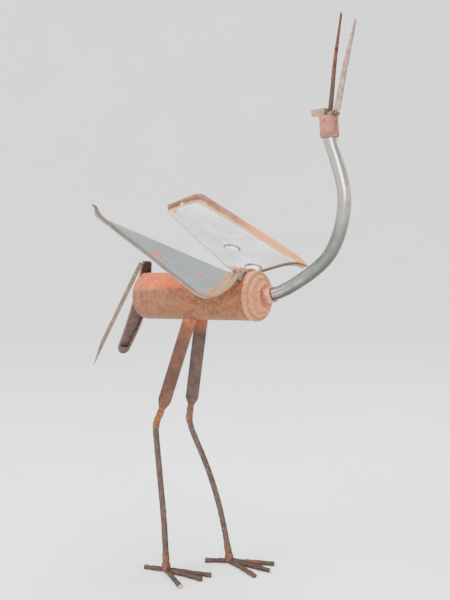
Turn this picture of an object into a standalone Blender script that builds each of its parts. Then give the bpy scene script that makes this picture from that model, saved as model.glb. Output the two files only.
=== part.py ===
"""Standing metal bird: a gas cylinder body on rod legs, with pan-half wings and a bent tube neck."""
import math

import bmesh
import bpy
from mathutils import Matrix, Vector

COLLECTION = "abstract_metal_bird"
CUTTERS = "cutters"

# Fits
WELD_GAP = 0.0003
GROUND_SINK = 0.0006
CUT_REACH = 0.100
SMOOTH_ANGLE = math.radians(38.0)

# Body: a closed steel cylinder, pitched up towards the neck
BODY_RADIUS = 0.043
BODY_LENGTH = 0.2575
BODY_REAR = Vector((-0.1345, 0.0, 0.4969))
BODY_PITCH = math.radians(5.4)
REAR_EDGE_RADIUS = 0.010
REAR_DISH = 0.002
BEAD_WIDTH = 0.010
BEAD_RISE = 0.0012
FRONT_STEP_RADIUS = 0.034
FRONT_STEP_DEPTH = 0.007
FRONT_RING_RADIUS = 0.023
FRONT_RING_DEPTH = 0.013
BEAD_SLOPE = 0.003
SHOULDER_INSET = 0.005
SHOULDER_RISE = 0.001
STEP_FILLET = 0.002
RING_FILLET = 0.004
EDGE_BREAK = 0.001
REAR_EDGE_STEPS = 5
BODY_STEPS = 48
BODY_TOP = Vector((0.0, 0.0, BODY_REAR.z + BODY_RADIUS))

# Boss that takes the neck
BOSS_RADIUS = 0.0143
BOSS_LENGTH = 0.013
BOSS_CHAMFER = 0.0015
BOSS_PITCH = math.radians(19.0)
BOSS_STEPS = 24

# Neck: one bent tube
NECK_RADIUS = 0.0116
NECK_CURVE = [
    (0.184, 0.5435), (0.2245, 0.5710), (0.250, 0.5935), (0.264, 0.6120), (0.2785, 0.6470),
    (0.2845, 0.681), (0.284, 0.712), (0.275, 0.744), (0.2635, 0.775),
]
NECK_SAMPLES = 5
NECK_SPARE = 0.003
NECK_STRAIGHT = 0.010
NECK_TOP_STRAIGHT = 0.006

# Head: a sleeve leaning back, with a crest stub and two beak blades
SLEEVE_FOOT = Vector((0.2560, 0.0, 0.7965))
SLEEVE_LEAN = math.radians(-5.0)
SLEEVE_RADIUS = 0.0158
SLEEVE_HEIGHT = 0.0355
SLEEVE_CHAMFER = 0.0012
SLEEVE_STEPS = 28
CREST_LENGTH = 0.0245
CREST_WIDTH = 0.016
CREST_HEIGHT = 0.0112
CREST_WALL = 0.0025
CREST_REACH = 0.0270
CREST_LIFT = 0.0014
CREST_LEAN = math.radians(-5.0)
BLADE_THICKNESS = 0.0055
BLADE_EDGE = 0.0008
BLADE_FOOT = 0.8270
BACK_BLADE_FOOT_X = 0.2552
BACK_BLADE_TIP = (0.2735, 0.995)
BACK_BLADE_WIDTHS = (0.0085, 0.0066, 0.0022)
BACK_BLADE_BEND = (0.2632, 0.919)
FRONT_BLADE_FOOT_X = 0.2660
FRONT_BLADE_TIP = (0.2996, 0.984)
FRONT_BLADE_WIDTHS = (0.0118, 0.0088, 0.0030)
FRONT_BLADE_BEND = (0.2840, 0.919)

# Wings: the two halves of a pressed steel pan
WING_LENGTH = 0.273
WING_ROOT_WIDTH = 0.182
WING_TIP_WIDTH = 0.066
PAN_SPARE = 0.030
RIM_HEIGHT = 0.011
RIM_PROFILE = [
    (0.0, 1.0), (0.0055, 1.0), (0.0072, 0.90), (0.0086, 0.62), (0.0106, 0.28),
    (0.0140, 0.07), (0.0185, 0.0),
]
FLOOR_RINGS = (0.8, 0.55, 0.28)
CORNER_RADIUS = 0.026
CORNER_STEPS = 7
SHEET = 0.0015
INNER_CORNER_RADIUS = 0.021
TIP_CORNER_RADIUS = 0.0234
SIDE_STEPS = (10, 7, 4, 10)
BOW_FADE = 0.090
ARCH_FADE = 0.055
DIP_WIDTH = 0.040
FLARE_REACH = 0.030
FLARE_WIDTH = 0.040
FLARE_LOW_SHARE = 0.15
TIP_HOLE_RADIUS = 0.0028
TIP_HOLE_PLACE = 0.028
TIP_HOLE_INSET = 0.008
TIP_HOLE_STEPS = 12
RIGHT_WING_ROOT = BODY_TOP + Vector((0.0784, -0.0069, 0.0143))
RIGHT_WING_SWEEP = math.radians(20.7)
RIGHT_WING_CLIMB = math.radians(21.2)
RIGHT_WING_DROOP = math.radians(8.0)
RIGHT_TIP_RISE = 0.024
RIGHT_ROOT_BOW = 0.010
RIGHT_ROOT_LEAD = 0.004
RIGHT_TIP_FLARE = 0.60
LEFT_WING_ROOT = BODY_TOP + Vector((0.0495, 0.0020, 0.0288))
LEFT_WING_SWEEP = math.radians(28.0)
LEFT_WING_CLIMB = math.radians(16.3)
LEFT_WING_DROOP = math.radians(7.0)
LEFT_TIP_RISE = 0.033
LEFT_ROOT_BOW = -0.004
LEFT_ROOT_LEAD = 0.045
LEFT_ROOT_REACH = 0.012
LEFT_ROOT_ARCH = 0.019
LEFT_ROOT_DIP = 0.010

# Tail: two lengths of channel, set out from the top of the body's rear
RIGHT_TAIL_TOP = BODY_TOP + Vector((-0.1360, -0.0095, 0.0183))
RIGHT_TAIL_TIP = BODY_TOP + Vector((-0.2290, -0.0435, -0.1757))
LEFT_TAIL_TOP = BODY_TOP + Vector((-0.1370, 0.0110, 0.0193))
LEFT_TAIL_TIP = BODY_TOP + Vector((-0.2315, 0.0441, -0.1724))
TAIL_FACE = Vector((0.82, -0.57, -0.50))
TAIL_TOP_WIDTH = 0.017
TAIL_TIP_WIDTH = 0.021
TAIL_SWELL = 0.0050
TAIL_DEPTH = 0.008
TAIL_WALL = 0.003
TAIL_STEPS = 8
LEFT_TAIL_BOW = 0.0090
LEFT_TIP_ROUND = 0.011
RIGHT_TIP_REACH = 0.050
RIGHT_TIP_THICKNESS = 0.0012

# Thighs: old flat files, tang down
THIGH_WIDTH = 0.0245
THIGH_THICKNESS = 0.0065
THIGH_SHOULDER = 0.016
THIGH_TANG = 0.011
RIGHT_THIGH_TOP = Vector((-0.0120, -0.0160, 0.484))
RIGHT_THIGH_FOOT = Vector((-0.0620, -0.0440, 0.2995))
RIGHT_THIGH_FACE = Vector((0.20, -0.98, 0.0))
LEFT_THIGH_TOP = Vector((-0.0125, 0.0160, 0.484))
LEFT_THIGH_FOOT = Vector((-0.0610, 0.0440, 0.2880))
LEFT_THIGH_FACE = Vector((0.50, -0.86, 0.0))

# Shins: bent round bar, ankle at the lower end
SHIN_RADIUS = 0.006
SHIN_SAMPLES = 3
RIGHT_SHIN = [
    (-0.0605, -0.0438, 0.3050), (-0.0650, -0.0448, 0.2920), (-0.0718, -0.0464, 0.2760), (-0.0737, -0.0480, 0.2585),
    (-0.0704, -0.0490, 0.2307), (-0.0640, -0.0498, 0.1750), (-0.0575, -0.0505, 0.1175),
    (-0.0525, -0.0510, 0.0600), (-0.0502, -0.0510, -0.0010),
]
LEFT_SHIN = [
    (-0.0600, 0.0438, 0.2950), (-0.0635, 0.0446, 0.2810), (-0.0672, 0.0465, 0.2640), (-0.0665, 0.0480, 0.2490),
    (-0.0587, 0.0480, 0.2304), (-0.0355, 0.0490, 0.1859), (-0.0157, 0.0500, 0.1418),
    (0.0015, 0.0500, 0.0936), (0.0125, 0.0510, 0.0480), (0.0231, 0.0510, -0.0010),
]

# Toes: round bar resting on worn flats; each is given by its tip from the ankle
GROUND_LEVEL = -0.0114
TOE_RADIUS = 0.0048
TOE_TIP_CHAMFER = 0.0012
RIGHT_ANKLE = (-0.0502, -0.0510)
LEFT_ANKLE = (0.0231, 0.0510)
RIGHT_TOES = {
    "inner": (0.0843, 0.0282),
    "middle": (0.0794, 0.0030),
    "outer": (0.0656, -0.0436),
    "back": (-0.0401, -0.0125),
}
LEFT_TOES = {
    "outer": (0.0781, 0.0365),
    "middle": (0.0887, 0.0056),
    "inner": (0.0783, -0.0304),
    "back": (-0.0378, -0.0243),
}


def clear_scene():
    for old in list(bpy.data.objects):
        bpy.data.objects.remove(old, do_unlink=True)


def new_collection(name):
    made = bpy.data.collections.new(name)
    bpy.context.scene.collection.children.link(made)
    return made


def finish_material(name, colour, roughness, metallic):
    made = bpy.data.materials.new(name)
    made.use_nodes = True
    shader = made.node_tree.nodes["Principled BSDF"]
    shader.inputs["Base Color"].default_value = (*colour, 1.0)
    shader.inputs["Roughness"].default_value = roughness
    shader.inputs["Metallic"].default_value = metallic
    made.diffuse_color = (*colour, 1.0)
    return made


def rusty_cylinder():
    return finish_material("body_rust", (0.42, 0.16, 0.08), 0.80, 0.25)


def pink_rust(name):
    return finish_material(name, (0.38, 0.17, 0.13), 0.75, 0.25)


def bare_tube():
    return finish_material("neck_steel", (0.36, 0.38, 0.38), 0.32, 0.90)


def weathered_pan(name):
    return finish_material(name, (0.50, 0.53, 0.54), 0.50, 0.65)


def brown_steel(name):
    return finish_material(name, (0.16, 0.10, 0.075), 0.70, 0.45)


def tan_blade():
    return finish_material("beak_tan", (0.46, 0.35, 0.28), 0.60, 0.50)


def orange_blade():
    return finish_material("beak_rust", (0.33, 0.15, 0.08), 0.75, 0.30)


def place(piece, material, group, parent):
    piece.data.materials.clear()
    piece.data.materials.append(material)
    group.objects.link(piece)
    piece.parent = parent


def smooth(piece):
    mesh = piece.data
    mesh.shade_smooth()
    mesh.set_sharp_from_angle(angle=SMOOTH_ANGLE)


def face_outwards(shape):
    """Turns every face of a closed body outwards."""
    bmesh.ops.recalc_face_normals(shape, faces=shape.faces)
    if shape.calc_volume(signed=True) < 0.0:
        bmesh.ops.reverse_faces(shape, faces=shape.faces)


def mesh_object(name, vertices, faces):
    mesh = bpy.data.meshes.new(name)
    mesh.from_pydata(vertices, [], faces)
    mesh.validate()
    shape = bmesh.new()
    shape.from_mesh(mesh)
    bmesh.ops.recalc_face_normals(shape, faces=shape.faces)
    shape.to_mesh(mesh)
    shape.free()
    return bpy.data.objects.new(name, mesh)


def flattened(piece, group):
    """Turns a curve or modified piece into a plain closed mesh object of the same place."""
    held = group.objects.get(piece.name) is not None
    if not held:
        group.objects.link(piece)
    bpy.context.view_layer.update()
    depsgraph = bpy.context.evaluated_depsgraph_get()
    mesh = bpy.data.meshes.new_from_object(piece.evaluated_get(depsgraph))
    name = piece.name
    matrix = piece.matrix_world.copy()
    bpy.data.objects.remove(piece, do_unlink=True)
    shape = bmesh.new()
    shape.from_mesh(mesh)
    bmesh.ops.remove_doubles(shape, verts=shape.verts, dist=0.00001)
    face_outwards(shape)
    shape.to_mesh(mesh)
    shape.free()
    made = bpy.data.objects.new(name, mesh)
    made.matrix_world = matrix
    return made


def smooth_path(points, samples):
    """Points of a rounded line that passes through every given point."""
    ends = [points[0] * 2.0 - points[1]] + list(points) + [points[-1] * 2.0 - points[-2]]
    path = []
    for first, second, third, fourth in zip(ends, ends[1:], ends[2:], ends[3:]):
        for step in range(samples):
            t = step / samples
            lead = second * 2.0 + (third - first) * t
            bend = (first * 2.0 - second * 5.0 + third * 4.0 - fourth) * t * t
            tail = (second * 3.0 - first - third * 3.0 + fourth) * t * t * t
            path.append((lead + bend + tail) * 0.5)
    path.append(points[-1])
    return path


def rod(name, path, radius, resolution, group):
    """A round bar along a path, with flat ends."""
    curve = bpy.data.curves.new(name, "CURVE")
    curve.dimensions = "3D"
    curve.twist_mode = "MINIMUM"
    curve.bevel_depth = radius
    curve.bevel_resolution = resolution
    curve.use_fill_caps = True
    line = curve.splines.new("POLY")
    line.points.add(len(path) - 1)
    for node, point in zip(line.points, path):
        node.co = (*point, 1.0)
    return flattened(bpy.data.objects.new(name, curve), group)


def flat_outline(name, outline, thickness, group):
    """A flat plate of a drawn outline in its own XY plane, thickness shared about the plane."""
    curve = bpy.data.curves.new(name, "CURVE")
    curve.dimensions = "2D"
    curve.fill_mode = "BOTH"
    curve.extrude = thickness / 2.0
    line = curve.splines.new("POLY")
    line.points.add(len(outline) - 1)
    for node, point in zip(line.points, outline):
        node.co = (point[0], point[1], 0.0, 1.0)
    line.use_cyclic_u = True
    return flattened(bpy.data.objects.new(name, curve), group)


def turned(name, profile, steps):
    """A solid of revolution about its own Z axis; the profile is radius and height, top to bottom."""
    mesh = bpy.data.meshes.new(name)
    edges = [(i, i + 1) for i in range(len(profile) - 1)]
    mesh.from_pydata([(radius, 0.0, height) for radius, height in profile], edges, [])
    piece = bpy.data.objects.new(name, mesh)
    spin = piece.modifiers.new("Turn", "SCREW")
    spin.axis = "Z"
    spin.steps = steps
    spin.render_steps = steps
    spin.use_merge_vertices = True
    spin.merge_threshold = 0.00001
    spin.use_normal_calculate = True
    spin.use_smooth_shade = True
    return piece


def frame_along(origin, along, face):
    """Pose whose X runs along a bar and whose Z is its face."""
    x_axis = along.normalized()
    z_axis = (face - x_axis * face.dot(x_axis)).normalized()
    y_axis = z_axis.cross(x_axis)
    pose = Matrix((x_axis, y_axis, z_axis)).transposed().to_4x4()
    pose.translation = origin
    return pose


def cut_plane(piece, point, normal):
    """Cuts off what lies on the side the normal points to and closes the face."""
    shape = bmesh.new()
    shape.from_mesh(piece.data)
    inverse = piece.matrix_world.inverted()
    local_point = inverse @ point
    local_normal = (inverse.to_3x3() @ normal).normalized()
    everything = list(shape.verts) + list(shape.edges) + list(shape.faces)
    cut = bmesh.ops.bisect_plane(
        shape, geom=everything, dist=0.000001, plane_co=local_point, plane_no=local_normal,
        clear_outer=True)
    rim = [item for item in cut["geom_cut"] if isinstance(item, bmesh.types.BMEdge)]
    if rim:
        bmesh.ops.holes_fill(shape, edges=rim, sides=0)
    bmesh.ops.remove_doubles(shape, verts=shape.verts, dist=0.000005)
    face_outwards(shape)
    shape.to_mesh(piece.data)
    shape.free()


def cut_with(piece, cutter, group):
    cutter.display_type = "WIRE"
    cutter.hide_render = True
    group.objects.link(cutter)
    cut = piece.modifiers.new("Cut", "BOOLEAN")
    cut.operation = "DIFFERENCE"
    cut.solver = "EXACT"
    cut.object = cutter


def box_piece(name, low, high):
    """A box between two corners."""
    corners = [(x, y, z) for x in (low[0], high[0]) for y in (low[1], high[1]) for z in (low[2], high[2])]
    faces = [(0, 1, 3, 2), (4, 6, 7, 5), (0, 4, 5, 1), (2, 3, 7, 6), (0, 2, 6, 4), (1, 5, 7, 3)]
    return mesh_object(name, corners, faces)


def body_axis():
    return Vector((math.cos(BODY_PITCH), 0.0, math.sin(BODY_PITCH)))


def along_body():
    """Pose whose Z runs from the rear of the body to its front."""
    turn = Matrix.Rotation(math.pi / 2.0 - BODY_PITCH, 4, "Y")
    return Matrix.Translation(BODY_REAR) @ turn


def body_profile():
    """Half outline of the cylinder from the front axis to the rear axis."""
    front = BODY_LENGTH
    profile = [
        (0.0, front + FRONT_RING_DEPTH),
        (FRONT_RING_RADIUS - RING_FILLET, front + FRONT_RING_DEPTH),
        (FRONT_RING_RADIUS - EDGE_BREAK, front + FRONT_RING_DEPTH - EDGE_BREAK),
        (FRONT_RING_RADIUS, front + FRONT_RING_DEPTH - RING_FILLET),
        (FRONT_RING_RADIUS + STEP_FILLET, front + FRONT_STEP_DEPTH + EDGE_BREAK / 2.0),
        (FRONT_STEP_RADIUS - STEP_FILLET, front + FRONT_STEP_DEPTH),
        (FRONT_STEP_RADIUS, front + FRONT_STEP_DEPTH - STEP_FILLET),
        (FRONT_STEP_RADIUS + EDGE_BREAK, front + STEP_FILLET),
        (BODY_RADIUS - SHOULDER_INSET, front + SHOULDER_RISE),
        (BODY_RADIUS - EDGE_BREAK, front),
        (BODY_RADIUS + BEAD_RISE, front - BEAD_SLOPE),
        (BODY_RADIUS + BEAD_RISE, front - BEAD_WIDTH + BEAD_SLOPE),
        (BODY_RADIUS, front - BEAD_WIDTH),
        (BODY_RADIUS, REAR_EDGE_RADIUS),
    ]
    for step in range(1, REAR_EDGE_STEPS + 1):
        angle = math.pi / 2.0 * step / REAR_EDGE_STEPS
        radius = BODY_RADIUS - REAR_EDGE_RADIUS * (1.0 - math.cos(angle))
        profile.append((radius, REAR_EDGE_RADIUS * (1.0 - math.sin(angle))))
    profile.append((0.0, -REAR_DISH))
    return profile


def make_body(group, parent):
    body = turned("body", body_profile(), BODY_STEPS)
    body.matrix_world = along_body()
    body = flattened(body, group)
    smooth(body)
    place(body, rusty_cylinder(), group, parent)
    return body


def body_clearance_cutter(name):
    """The body's side grown by the weld gap, to shape what stands against it."""
    radius = BODY_RADIUS + WELD_GAP
    profile = [(0.0, BODY_LENGTH), (radius, BODY_LENGTH), (radius, 0.0), (0.0, 0.0)]
    cutter = turned(name, profile, BODY_STEPS)
    cutter.matrix_world = along_body()
    return cutter


def boss_start():
    return BODY_REAR + body_axis() * (BODY_LENGTH + FRONT_RING_DEPTH)


def boss_direction():
    return Vector((math.cos(BOSS_PITCH), 0.0, math.sin(BOSS_PITCH)))


def boss_clear():
    """Distance the tilted boss starts off the body so that its low edge stays clear."""
    return BOSS_RADIUS * math.tan(BOSS_PITCH - BODY_PITCH) + WELD_GAP


def make_boss(group, parent):
    profile = [
        (0.0, BOSS_LENGTH),
        (BOSS_RADIUS - BOSS_CHAMFER, BOSS_LENGTH),
        (BOSS_RADIUS, BOSS_LENGTH - BOSS_CHAMFER),
        (BOSS_RADIUS, 0.0),
        (0.0, 0.0),
    ]
    boss = turned("neck_boss", profile, BOSS_STEPS)
    place_at = boss_start() + boss_direction() * boss_clear()
    boss.matrix_world = Matrix.Translation(place_at) @ Matrix.Rotation(math.pi / 2.0 - BOSS_PITCH, 4, "Y")
    boss = flattened(boss, group)
    smooth(boss)
    place(boss, pink_rust("boss_rust"), group, parent)


def make_neck(group, parent):
    start = boss_start() + boss_direction() * (boss_clear() + BOSS_LENGTH + WELD_GAP)
    sleeve_axis = Vector((math.sin(SLEEVE_LEAN), 0.0, math.cos(SLEEVE_LEAN)))
    end = SLEEVE_FOOT - sleeve_axis * WELD_GAP
    points = [start - boss_direction() * NECK_SPARE, start, start + boss_direction() * NECK_STRAIGHT]
    points += [Vector((x, 0.0, z)) for x, z in NECK_CURVE]
    points += [end - sleeve_axis * NECK_TOP_STRAIGHT, end + sleeve_axis * NECK_SPARE]
    neck = rod("neck", smooth_path(points, NECK_SAMPLES), NECK_RADIUS, 3, group)
    cut_plane(neck, start, -boss_direction())
    cut_plane(neck, end, sleeve_axis)
    smooth(neck)
    place(neck, bare_tube(), group, parent)


def head_pose():
    """Pose of the head at the top of its sleeve, leaning back."""
    lean = Matrix.Rotation(SLEEVE_LEAN, 4, "Y")
    top = SLEEVE_FOOT + lean.to_3x3() @ Vector((0.0, 0.0, SLEEVE_HEIGHT))
    return Matrix.Translation(top) @ lean


def make_sleeve(group, parent):
    profile = [
        (0.0, 0.0),
        (SLEEVE_RADIUS - SLEEVE_CHAMFER, 0.0),
        (SLEEVE_RADIUS, -SLEEVE_CHAMFER),
        (SLEEVE_RADIUS, SLEEVE_CHAMFER - SLEEVE_HEIGHT),
        (SLEEVE_RADIUS - SLEEVE_CHAMFER, -SLEEVE_HEIGHT),
        (0.0, -SLEEVE_HEIGHT),
    ]
    sleeve = turned("head_sleeve", profile, SLEEVE_STEPS)
    sleeve.matrix_world = head_pose()
    sleeve = flattened(sleeve, group)
    smooth(sleeve)
    place(sleeve, pink_rust("sleeve_rust"), group, parent)


def make_crest(group, parent):
    """A short channel stub lying on the sleeve, open side down."""
    half = CREST_WIDTH / 2.0
    inner = half - CREST_WALL
    roof = CREST_HEIGHT - CREST_WALL
    section = [
        (-half, 0.0), (-half, CREST_HEIGHT), (half, CREST_HEIGHT), (half, 0.0),
        (inner, 0.0), (inner, roof), (-inner, roof), (-inner, 0.0),
    ]
    crest = flat_outline("crest", section, CREST_LENGTH, group)
    upright = Matrix.Rotation(math.pi / 2.0, 4, "Z") @ Matrix.Rotation(math.pi / 2.0, 4, "X")
    lift = Matrix.Translation((0.0, 0.0, CREST_LIFT)) @ Matrix.Rotation(CREST_LEAN, 4, "Y")
    middle = Matrix.Translation((CREST_LENGTH / 2.0 - CREST_REACH, 0.0, 0.0))
    crest.matrix_world = head_pose() @ lift @ middle @ upright
    place(crest, brown_steel("crest_steel"), group, parent)


def make_blade(name, foot_x, bend, tip, widths, material, group, parent):
    """A long thin beak blade: foot, bend and tip in the middle plane, with a width at each."""
    foot_half, bend_half, tip_half = (width / 2.0 for width in widths)
    outline = [
        (foot_x - foot_half, BLADE_FOOT), (foot_x + foot_half, BLADE_FOOT),
        (bend[0] + bend_half, bend[1]), (tip[0] + tip_half, tip[1] - tip_half),
        (tip[0], tip[1]), (tip[0] - tip_half, tip[1] - tip_half),
        (bend[0] - bend_half, bend[1]),
    ]
    blade = flat_outline(name, outline, BLADE_THICKNESS, group)
    blade.matrix_world = Matrix.Rotation(math.pi / 2.0, 4, "X")
    head = head_pose()
    down = head.to_3x3() @ Vector((0.0, 0.0, -1.0))
    cut_plane(blade, head.translation - down * WELD_GAP, down)
    edge = blade.modifiers.new("Edges", "BEVEL")
    edge.width = BLADE_EDGE
    edge.segments = 1
    edge.limit_method = "ANGLE"
    edge.angle_limit = SMOOTH_ANGLE
    place(blade, material, group, parent)


def line_crossing(first, second):
    """Where two lines, each a point and a direction, meet."""
    (ax, ay), (adx, ady) = first
    (bx, by), (bdx, bdy) = second
    span = adx * bdy - ady * bdx
    t = ((bx - ax) * bdy - (by - ay) * bdx) / span
    return ax + adx * t, ay + ady * t


def rounded_ring(corners, radii, inset):
    """A closed outline moved inwards by the inset, its corners arcs about fixed centres."""
    count = len(corners)
    sides = []
    for index in range(count):
        start = corners[index]
        end = corners[(index + 1) % count]
        dx, dy = end[0] - start[0], end[1] - start[1]
        size = math.hypot(dx, dy)
        dx, dy = dx / size, dy / size
        sides.append((start, (dx, dy), (-dy, dx)))
    ring = []
    for index in range(count):
        before = sides[index - 1]
        after = sides[index]
        radius = radii[index]
        lines = []
        for start, along, inward in (before, after):
            lines.append(((start[0] + inward[0] * radius, start[1] + inward[1] * radius), along))
        centre = line_crossing(*lines)
        first = math.atan2(-before[2][1], -before[2][0])
        turn = (math.atan2(-after[2][1], -after[2][0]) - first) % (2.0 * math.pi)
        for step in range(CORNER_STEPS + 1):
            angle = first + turn * step / CORNER_STEPS
            reach = radius - inset
            ring.append((centre[0] + reach * math.cos(angle), centre[1] + reach * math.sin(angle)))
    return ring


def wing_height(s, w, pose):
    """Gentle twist that lifts the outer tip corner, and an arch and a dip across the root end."""
    share = min(1.0, max(0.0, s / WING_LENGTH))
    width = WING_ROOT_WIDTH + (WING_TIP_WIDTH - WING_ROOT_WIDTH) * share
    twist = pose["rise"] * share * max(0.0, w / width)
    fade = min(1.0, max(0.0, 1.0 - s / ARCH_FADE))
    across = min(1.0, max(0.0, w / WING_ROOT_WIDTH))
    inward = min(1.0, max(0.0, w / DIP_WIDTH))
    return twist + fade * (pose["arch"] * math.sin(math.pi * across * across) - pose["dip"] * inward)


def wing_bow(s, w, bow):
    """How far the root end swells forward of a straight line, fading towards the tip."""
    fade = max(0.0, 1.0 - max(0.0, s) / BOW_FADE)
    across = min(1.0, max(0.0, w / WING_ROOT_WIDTH))
    return -bow * fade * math.sin(math.pi * across)


def rim_share(s, w, flare):
    """Height of the rim at the tip end as a share: low at the cut edge and flared up at the corner."""
    if flare == 0.0:
        return 1.0
    near_tip = min(1.0, max(0.0, (s - WING_LENGTH + FLARE_REACH) / FLARE_REACH))
    across = min(1.0, max(FLARE_LOW_SHARE, w / FLARE_WIDTH))
    return 1.0 + near_tip * ((1.0 + flare) * across - 1.0)


def make_wing(name, root, pose, side, group, cutters, parent):
    """Half of a pressed pan: flat sheet, rounded corners and a flanged rim, cut straight inside."""
    spare_lead = pose["lead"] * (1.0 + PAN_SPARE / WING_ROOT_WIDTH)
    slope = (WING_ROOT_WIDTH - WING_TIP_WIDTH) / WING_LENGTH
    corners = [
        (-pose["reach"], WING_ROOT_WIDTH + pose["reach"] * slope), (-spare_lead, -PAN_SPARE),
        (WING_LENGTH, -PAN_SPARE), (WING_LENGTH, WING_TIP_WIDTH),
    ]
    radii = [CORNER_RADIUS, INNER_CORNER_RADIUS, INNER_CORNER_RADIUS, TIP_CORNER_RADIUS]
    rings = []
    for inset, share in RIM_PROFILE:
        rings.append((split_sides(rounded_ring(corners, radii, inset)), RIM_HEIGHT * share))
    floor = rings[-1][0]
    count = len(floor)
    middle = (sum(s for s, w in floor) / count, sum(w for s, w in floor) / count)
    for share in FLOOR_RINGS:
        inner = [(middle[0] + (s - middle[0]) * share, middle[1] + (w - middle[1]) * share)
                 for s, w in floor]
        rings.append((inner, 0.0))
    vertices = []
    for ring, rise in rings + [([middle], 0.0)]:
        for s, w in ring:
            lift = rise * rim_share(s, w, pose["flare"]) + wing_height(s, w, pose)
            vertices.append((s + wing_bow(s, w, pose["bow"]), side * w, lift))
    faces = []
    for level in range(len(rings) - 1):
        for index in range(count):
            after = (index + 1) % count
            low, high = level * count, (level + 1) * count
            faces.append((low + index, low + after, high + after, high + index))
    last = (len(rings) - 1) * count
    for index in range(count):
        faces.append((last + index, last + (index + 1) % count, last + count))
    wing = mesh_object(name, vertices, faces)
    up = wing.data.polygons[-1].normal.z
    if up < 0.0:
        wing.data.flip_normals()
    turn = Matrix.Rotation(math.pi + side * pose["sweep"], 4, "Z")
    raise_tip = Matrix.Rotation(-pose["climb"], 4, "Y")
    roll = Matrix.Rotation(-side * pose["droop"], 4, "X")
    wing.matrix_world = Matrix.Translation(root) @ turn @ raise_tip @ roll
    shell = wing.modifiers.new("Sheet", "SOLIDIFY")
    shell.thickness = SHEET
    shell.offset = -1.0
    shell.use_even_offset = True
    cut_low = (-CUT_REACH, -CUT_REACH, -CUT_REACH)
    cut_high = (WING_LENGTH + CUT_REACH, 0.0, CUT_REACH)
    if side < 0:
        cut_low = (-CUT_REACH, 0.0, -CUT_REACH)
        cut_high = (WING_LENGTH + CUT_REACH, CUT_REACH, CUT_REACH)
    half = box_piece(name + "_cut", cut_low, cut_high)
    half.matrix_world = wing.matrix_world.copy()
    cut_with(wing, half, cutters)
    half_bore = RIM_HEIGHT * 2.0
    hole = turned(name + "_hole", [(0.0, half_bore), (TIP_HOLE_RADIUS, half_bore),
                                   (TIP_HOLE_RADIUS, -half_bore), (0.0, -half_bore)], TIP_HOLE_STEPS)
    hole_height = RIM_HEIGHT / 2.0 + wing_height(WING_LENGTH, TIP_HOLE_PLACE, pose)
    spot = Matrix.Translation((WING_LENGTH - TIP_HOLE_INSET, side * TIP_HOLE_PLACE, hole_height))
    hole.matrix_world = wing.matrix_world @ spot @ Matrix.Rotation(math.pi / 2.0, 4, "Y")
    cut_with(wing, flattened(hole, cutters), cutters)
    cut_with(wing, flattened(body_clearance_cutter(name + "_seat"), cutters), cutters)
    wing = flattened(wing, group)
    cut_plane(wing, Vector((0.0, -side * WELD_GAP / 2.0, 0.0)), Vector((0.0, side, 0.0)))
    smooth(wing)
    place(wing, weathered_pan(name + "_sheet"), group, parent)


def split_sides(ring):
    """The outline with its straight sides split, so that bow and twist bend them evenly."""
    per_corner = CORNER_STEPS + 1
    split = []
    for corner in range(4):
        arc = ring[corner * per_corner:(corner + 1) * per_corner]
        split += arc
        start = arc[-1]
        end = ring[((corner + 1) * per_corner) % len(ring)]
        parts = SIDE_STEPS[corner]
        for step in range(1, parts):
            t = step / parts
            split.append((start[0] + (end[0] - start[0]) * t, start[1] + (end[1] - start[1]) * t))
    return split


def tail_outline(length, bow, wall, tip_round):
    """Outline of a tail channel, bowed and swollen in the middle; the wall moves its long sides inwards."""
    upper, lower = [], []
    run = length - tip_round
    for step in range(TAIL_STEPS + 1):
        share = step / TAIL_STEPS
        arch = math.sin(math.pi * share * run / length)
        half = (TAIL_TOP_WIDTH + (TAIL_TIP_WIDTH - TAIL_TOP_WIDTH) * share) / 2.0 + TAIL_SWELL * arch - wall
        upper.append((run * share, bow * arch + half))
        lower.append((run * share, bow * arch - half))
    tip = []
    middle = (upper[-1][1] + lower[-1][1]) / 2.0
    half = (upper[-1][1] - lower[-1][1]) / 2.0
    if tip_round > 0.0:
        for step in range(1, TAIL_STEPS):
            angle = math.pi / 2.0 - math.pi * step / TAIL_STEPS
            tip.append((run + tip_round * math.cos(angle), middle + half * math.sin(angle)))
    return upper + tip + lower[::-1]


def make_tail(name, side, top, tip, bow, tip_round, material, group, cutters, parent):
    """A channel with its floor towards the body; one tip is round, the other is ground thin."""
    face = Vector((TAIL_FACE.x, side * TAIL_FACE.y, TAIL_FACE.z))
    length = (tip - top).length
    pose = frame_along(top, tip - top, face)
    tail = flat_outline(name, tail_outline(length, bow, 0.0, tip_round), TAIL_DEPTH, group)
    tail.matrix_world = pose
    inner = [(s, w) for s, w in tail_outline(length - TAIL_TOP_WIDTH, bow, TAIL_WALL, 0.0)]
    inner[0] = (-TAIL_WALL, inner[0][1])
    inner[-1] = (-TAIL_WALL, inner[-1][1])
    groove = flat_outline(name + "_groove", inner, TAIL_DEPTH, cutters)
    groove.matrix_world = pose @ Matrix.Translation((0.0, 0.0, TAIL_WALL))
    cut_with(tail, groove, cutters)
    tail = flattened(tail, group)
    cut_plane(tail, Vector((0.0, side * WELD_GAP / 2.0, 0.0)), Vector((0.0, -side, 0.0)))
    if tip_round == 0.0:
        thin = TAIL_DEPTH / 2.0 - RIGHT_TIP_THICKNESS
        slope = math.atan2(TAIL_DEPTH - RIGHT_TIP_THICKNESS, RIGHT_TIP_REACH)
        normal = pose.to_3x3() @ Vector((math.sin(slope), 0.0, -math.cos(slope)))
        cut_plane(tail, pose @ Vector((length, 0.0, thin)), normal)
    place(tail, material, group, parent)


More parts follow.
